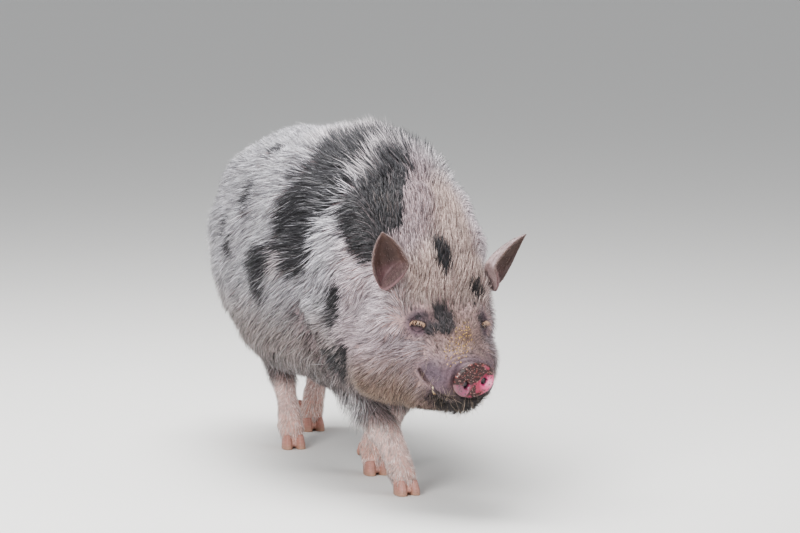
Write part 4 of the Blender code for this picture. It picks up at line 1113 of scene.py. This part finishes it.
# The clumps first: their own middle lines draw in the tufts that stand nearest.
surface = tree_of(hide)
clump_roots, clump_normals = scattered(hide, lambda *at: coat_density(*at) / CLUMP_SHARE)
clump_spots = places_on(clump_roots)
clump_ways = lie(clump_roots, clump_normals, clump_spots)
clump_lengths, clump_lifts = mixed_kinds(clump_spots, LENGTH), mixed_kinds(clump_spots, LIFT)
clump_lines, _ = walked(
    surface, clump_roots, clump_normals, clump_ways, clump_lengths, clump_lifts, CLUMP_STEPS
)
clumps = KDTree(len(clump_roots))
for index, root in enumerate(clump_roots.tolist()):
    clumps.insert(root, index)
clumps.balance()
calm = np.maximum(clump_spots["rump"], clump_spots["crest"])
clump_tones = 1 + rng.uniform(-0.26, 0.16, len(clump_roots)) * (1 - 0.6 * calm)


def in_clumps(roots, lines, lengths, own):
    """Draws each tuft's tip towards the middle line of its own clump."""
    steps = lines.shape[1] - 1
    for step in range(1, steps + 1):
        share = step / steps
        place = np.minimum(share * CLUMP_STEPS * lengths / clump_lengths[own], CLUMP_STEPS - 0.001)
        low = place.astype(int)
        part = (place - low)[:, None]
        target = clump_lines[own, low] * (1 - part) + clump_lines[own, low + 1] * part
        pull = CLUMP_PULL * share**1.5 * rng.uniform(0.4, 1.1, len(roots))
        pull *= 1 - 0.4 * regions(roots)["head"]
        lines[:, step] += (target - lines[:, step]) * pull[:, None]
    return lines


def hair_shades(places, spots):
    """The colour of each tuft at its root, from where its middle lies."""
    dark = darkness(places) > rng.uniform(0.12, 0.88, len(places))
    odd = rng.random(len(places))
    shades, black = hair_colour(places, spots), linear(*BLACK_HAIR)
    greyed = (1 - spots["shank"]) * (1 - 0.6 * spots["head"]) * (1 - 0.6 * spots["rump"])
    shades = np.where((odd < 0.26 * greyed)[:, None], shades * 0.34 + black * 0.3, shades)
    shades = np.where(dark[:, None], np.where((odd < 0.90)[:, None], black, shades * 0.45), shades)
    shades *= 1 - 0.42 * (dark * spots["head"])[:, None]
    own = 0.91 + rng.uniform(-0.46, 0.46, len(places)) * (1 - 0.35 * spots["rump"])
    return shades * own[:, None]


all_roots, all_normals = scattered(hide, coat_density)
all_spots = places_on(all_roots)
long_hair = np.maximum.reduce([all_spots[kind] for kind in ("crest", "ruff", "tail", "elbow")]) > LONG_FROM
long_hair &= all_spots["face"] < 0.5
made = 0
for steps, chosen in ((3, long_hair), (2, ~long_hair)):
    roots, normals = all_roots[chosen], all_normals[chosen]
    spots = {key: value[chosen] for key, value in all_spots.items()}
    lengths = mixed_kinds(spots, LENGTH) * rng.uniform(0.60, 1.25, len(roots))
    lifts = mixed_kinds(spots, LIFT) * rng.uniform(0.3, 1.5, len(roots))
    widths = mixed_kinds(spots, WIDTH) * rng.uniform(0.7, 1.2, len(roots))
    ways = flattened(lie(roots, normals, spots) + rng.normal(0, 0.15, (len(roots), 3)), normals)
    lines, sides = walked(surface, roots, normals, ways, lengths, lifts, steps)
    own = np.array([clumps.find(root)[1] for root in roots.tolist()])
    lines = in_clumps(roots, lines, lengths, own)
    shades = hair_shades(roots + ways * (0.40 * lengths)[:, None], spots)
    shades *= clump_tones[own][:, None]
    # painted shade at the roots, and painted light on the tips below
    root_painted_shade = ROOT_PAINTED_SHADE + SHANK_ROOT_MORE * spots["shank"] + HEAD_ROOT_MORE * spots["head"]
    order = np.argsort(roots[:, 0])
    for start in range(0, len(order), PER_PIECE[steps]):
        some = order[start : start + PER_PIECE[steps]]
        made += 1
        ends = shades[some] * root_painted_shade[some, None], shades[some] * TIP_PAINTED_LIGHT
        tuft_mesh(f"coat_{made}", lines[some], sides[some], widths[some], *ends)

# ---------------------------------------------------------------- guard hairs, lashes and whiskers
# Long thin single hairs stand out of the coat, cream lashes hang over the eyes, the ears have a
# fine fur with a fringe along the rim, and whiskers stand under the chin.
GUARDS, WHISKERS, OUTER_FUR, INNER_FUR, RIM_FUR = 1800, 7000, 70000, 12000, 80000  # to the square metre
GUARD_SIZE = (0.068, 0.022, 0.0006)  # length, lift of the tip and width
WHISKER_SIZE = (0.024, 0.020, 0.0004)
FUR_SIZE = (0.013, 0.0016, 0.0007)
LASHES, LASH_LENGTH, LASH_WIDTH = 76, 0.0150, 0.0009
LASH_POINTS = 2.6  # they stick together in a few points


def single_hairs(name, obj, density, way_of, size, colour, steps=3, slot="bristled_skin"):
    """Scatters hairs of one kind over a surface and makes them one mesh."""
    length, lift, width = size
    roots, normals = scattered(obj, density)
    ways = flattened(way_of(roots, normals) + rng.normal(0, 0.2, (len(roots), 3)), normals)
    vary = rng.uniform(0.6, 1.25, (3, len(roots)))
    lines, sides = walked(tree_of(obj), roots, normals, ways, length * vary[0], lift * vary[1], steps)
    shades = np.tile(linear(*colour), (len(roots), 1)) * rng.uniform(0.7, 1.15, len(roots))[:, None]
    shades *= 1 - 0.65 * darkness(roots)[:, None]
    tuft_mesh(name, lines, sides, width * vary[2], shades, shades * 1.1, slot)


def guard_density(points, normals):
    spots = places_on(points)
    return GUARDS * (1 - spots["head"]) * (1 - spots["shank"]) * (coat_density(points, normals) > 0)


def guard_way(points, normals):
    return lie(points, normals, places_on(points))


def whisker_density(points, normals):
    ahead, _, above = inside(HEAD, points).T
    chin = ease(-0.120, -0.060, ahead) * ease(0.020, -0.030, above)
    cheek = ease(-0.160, -0.100, ahead) * ease(0.075, 0.055, above) * 0.25
    bare = inside(disc_frame, points)[:, 0] > BARE_RIM
    return np.where(bare, 0, WHISKERS * regions(points)["head"] * np.maximum(chin, cheek))


def whisker_way(points, normals):
    return np.tile(unit(axes(HEAD) @ (0.3, 0, -1.0)), (len(points), 1))


single_hairs("coat_guard", hide, guard_density, guard_way, GUARD_SIZE, (206, 203, 204))
single_hairs("whiskers", hide, whisker_density, whisker_way, WHISKER_SIZE, (182, 162, 142))
for side, name in SIDES:
    place = ear_frame(side)

    def fur_density(points, normals):
        """Thick outside and along the rim, and thinner deep in the cup."""
        facing = (normals @ axes(place))[:, 0]
        height = inside(place, points)[:, 2]
        outer = ease(0.3, 0.0, facing)
        dense = OUTER_FUR * outer + INNER_FUR * (1 - outer) * ease(0.09, 0.02, height)
        return (dense + RIM_FUR * bell(facing, 0.35)) * ease(-0.02, 0.0, height)

    def fur_way(points, normals):
        return np.tile(axes(place)[:, 2], (len(points), 1))

    fur = f"ear_{name}_fur"
    single_hairs(fur, ears[side], fur_density, fur_way, FUR_SIZE, (150, 131, 127), 2, "ear_skin")

for side, name in SIDES:
    place = eye_frame(side)
    at = rng.uniform(-0.98, 0.98, LASHES)
    corner = np.clip(1 - at**2, 0, 1)
    base_y = at * EYE_HALF_WIDTH
    base_z = EYE_UPPER * corner**0.6 + EYE_SLANT * side * base_y + rng.uniform(0.0002, 0.0016, LASHES)
    base_x = np.sqrt(LID_RADIUS**2 - base_y**2 - base_z**2) - 0.0006
    length = LASH_LENGTH * rng.uniform(0.5, 1.1, LASHES)
    to_point = np.rint(at * LASH_POINTS) / LASH_POINTS - at
    lines = []
    for share in (0, 1 / 3, 2 / 3, 1):
        lean = rng.normal(0, 0.0016, LASHES) * share
        out = base_x + length * (0.95 * share - 0.25 * share**2)
        across = base_y + (length * 0.30 * at * share + 0.55 * to_point * EYE_HALF_WIDTH * share + lean)
        up = base_z + length * (0.05 * share - 0.72 * share**2)
        lines.append(outside(place, np.stack((out, across, up), 1)))
    sides = np.tile(axes(place)[:, 2], (LASHES, 4, 1))
    shades = np.tile(linear(214, 178, 152), (LASHES, 1)) * rng.uniform(0.55, 1.1, LASHES)[:, None]
    widths = np.full(LASHES, LASH_WIDTH)
    tuft_mesh(f"lashes_{name}", np.stack(lines, 1), sides, widths, shades * 0.7, shades * 1.1, "eye")

# ---------------------------------------------------------------- pollen
# Yellow grains of pollen and dry crumbs cling to the hair on the bridge of the nose. Each is a
# small pointed chip that lies any way round.
GRAINS, GRAIN, GRAIN_HEIGHT = 42000, 0.0030, 0.0050  # to the square metre, and in metres


def grain_density(points, normals):
    return GRAINS * places_on(points)["dust"] ** 1.5 * (inside(disc_frame, points)[:, 0] < -0.012)


roots, normals = scattered(hide, grain_density)
tips = roots + unit(rng.normal(0, 1, roots.shape)) * GRAIN
raised = (normals * GRAIN_HEIGHT * rng.uniform(0.2, 1.2, (len(roots), 1)))[:, None]
lines, sides = np.stack((roots, tips), 1) + raised, np.stack((normals, normals), 1)
shades = np.tile(linear(222, 184, 84), (len(roots), 1)) * rng.uniform(0.5, 1.3, (len(roots), 1))
widths = GRAIN * rng.uniform(0.5, 1.0, len(roots))
tuft_mesh("pollen", lines, sides, widths, shades, shades)
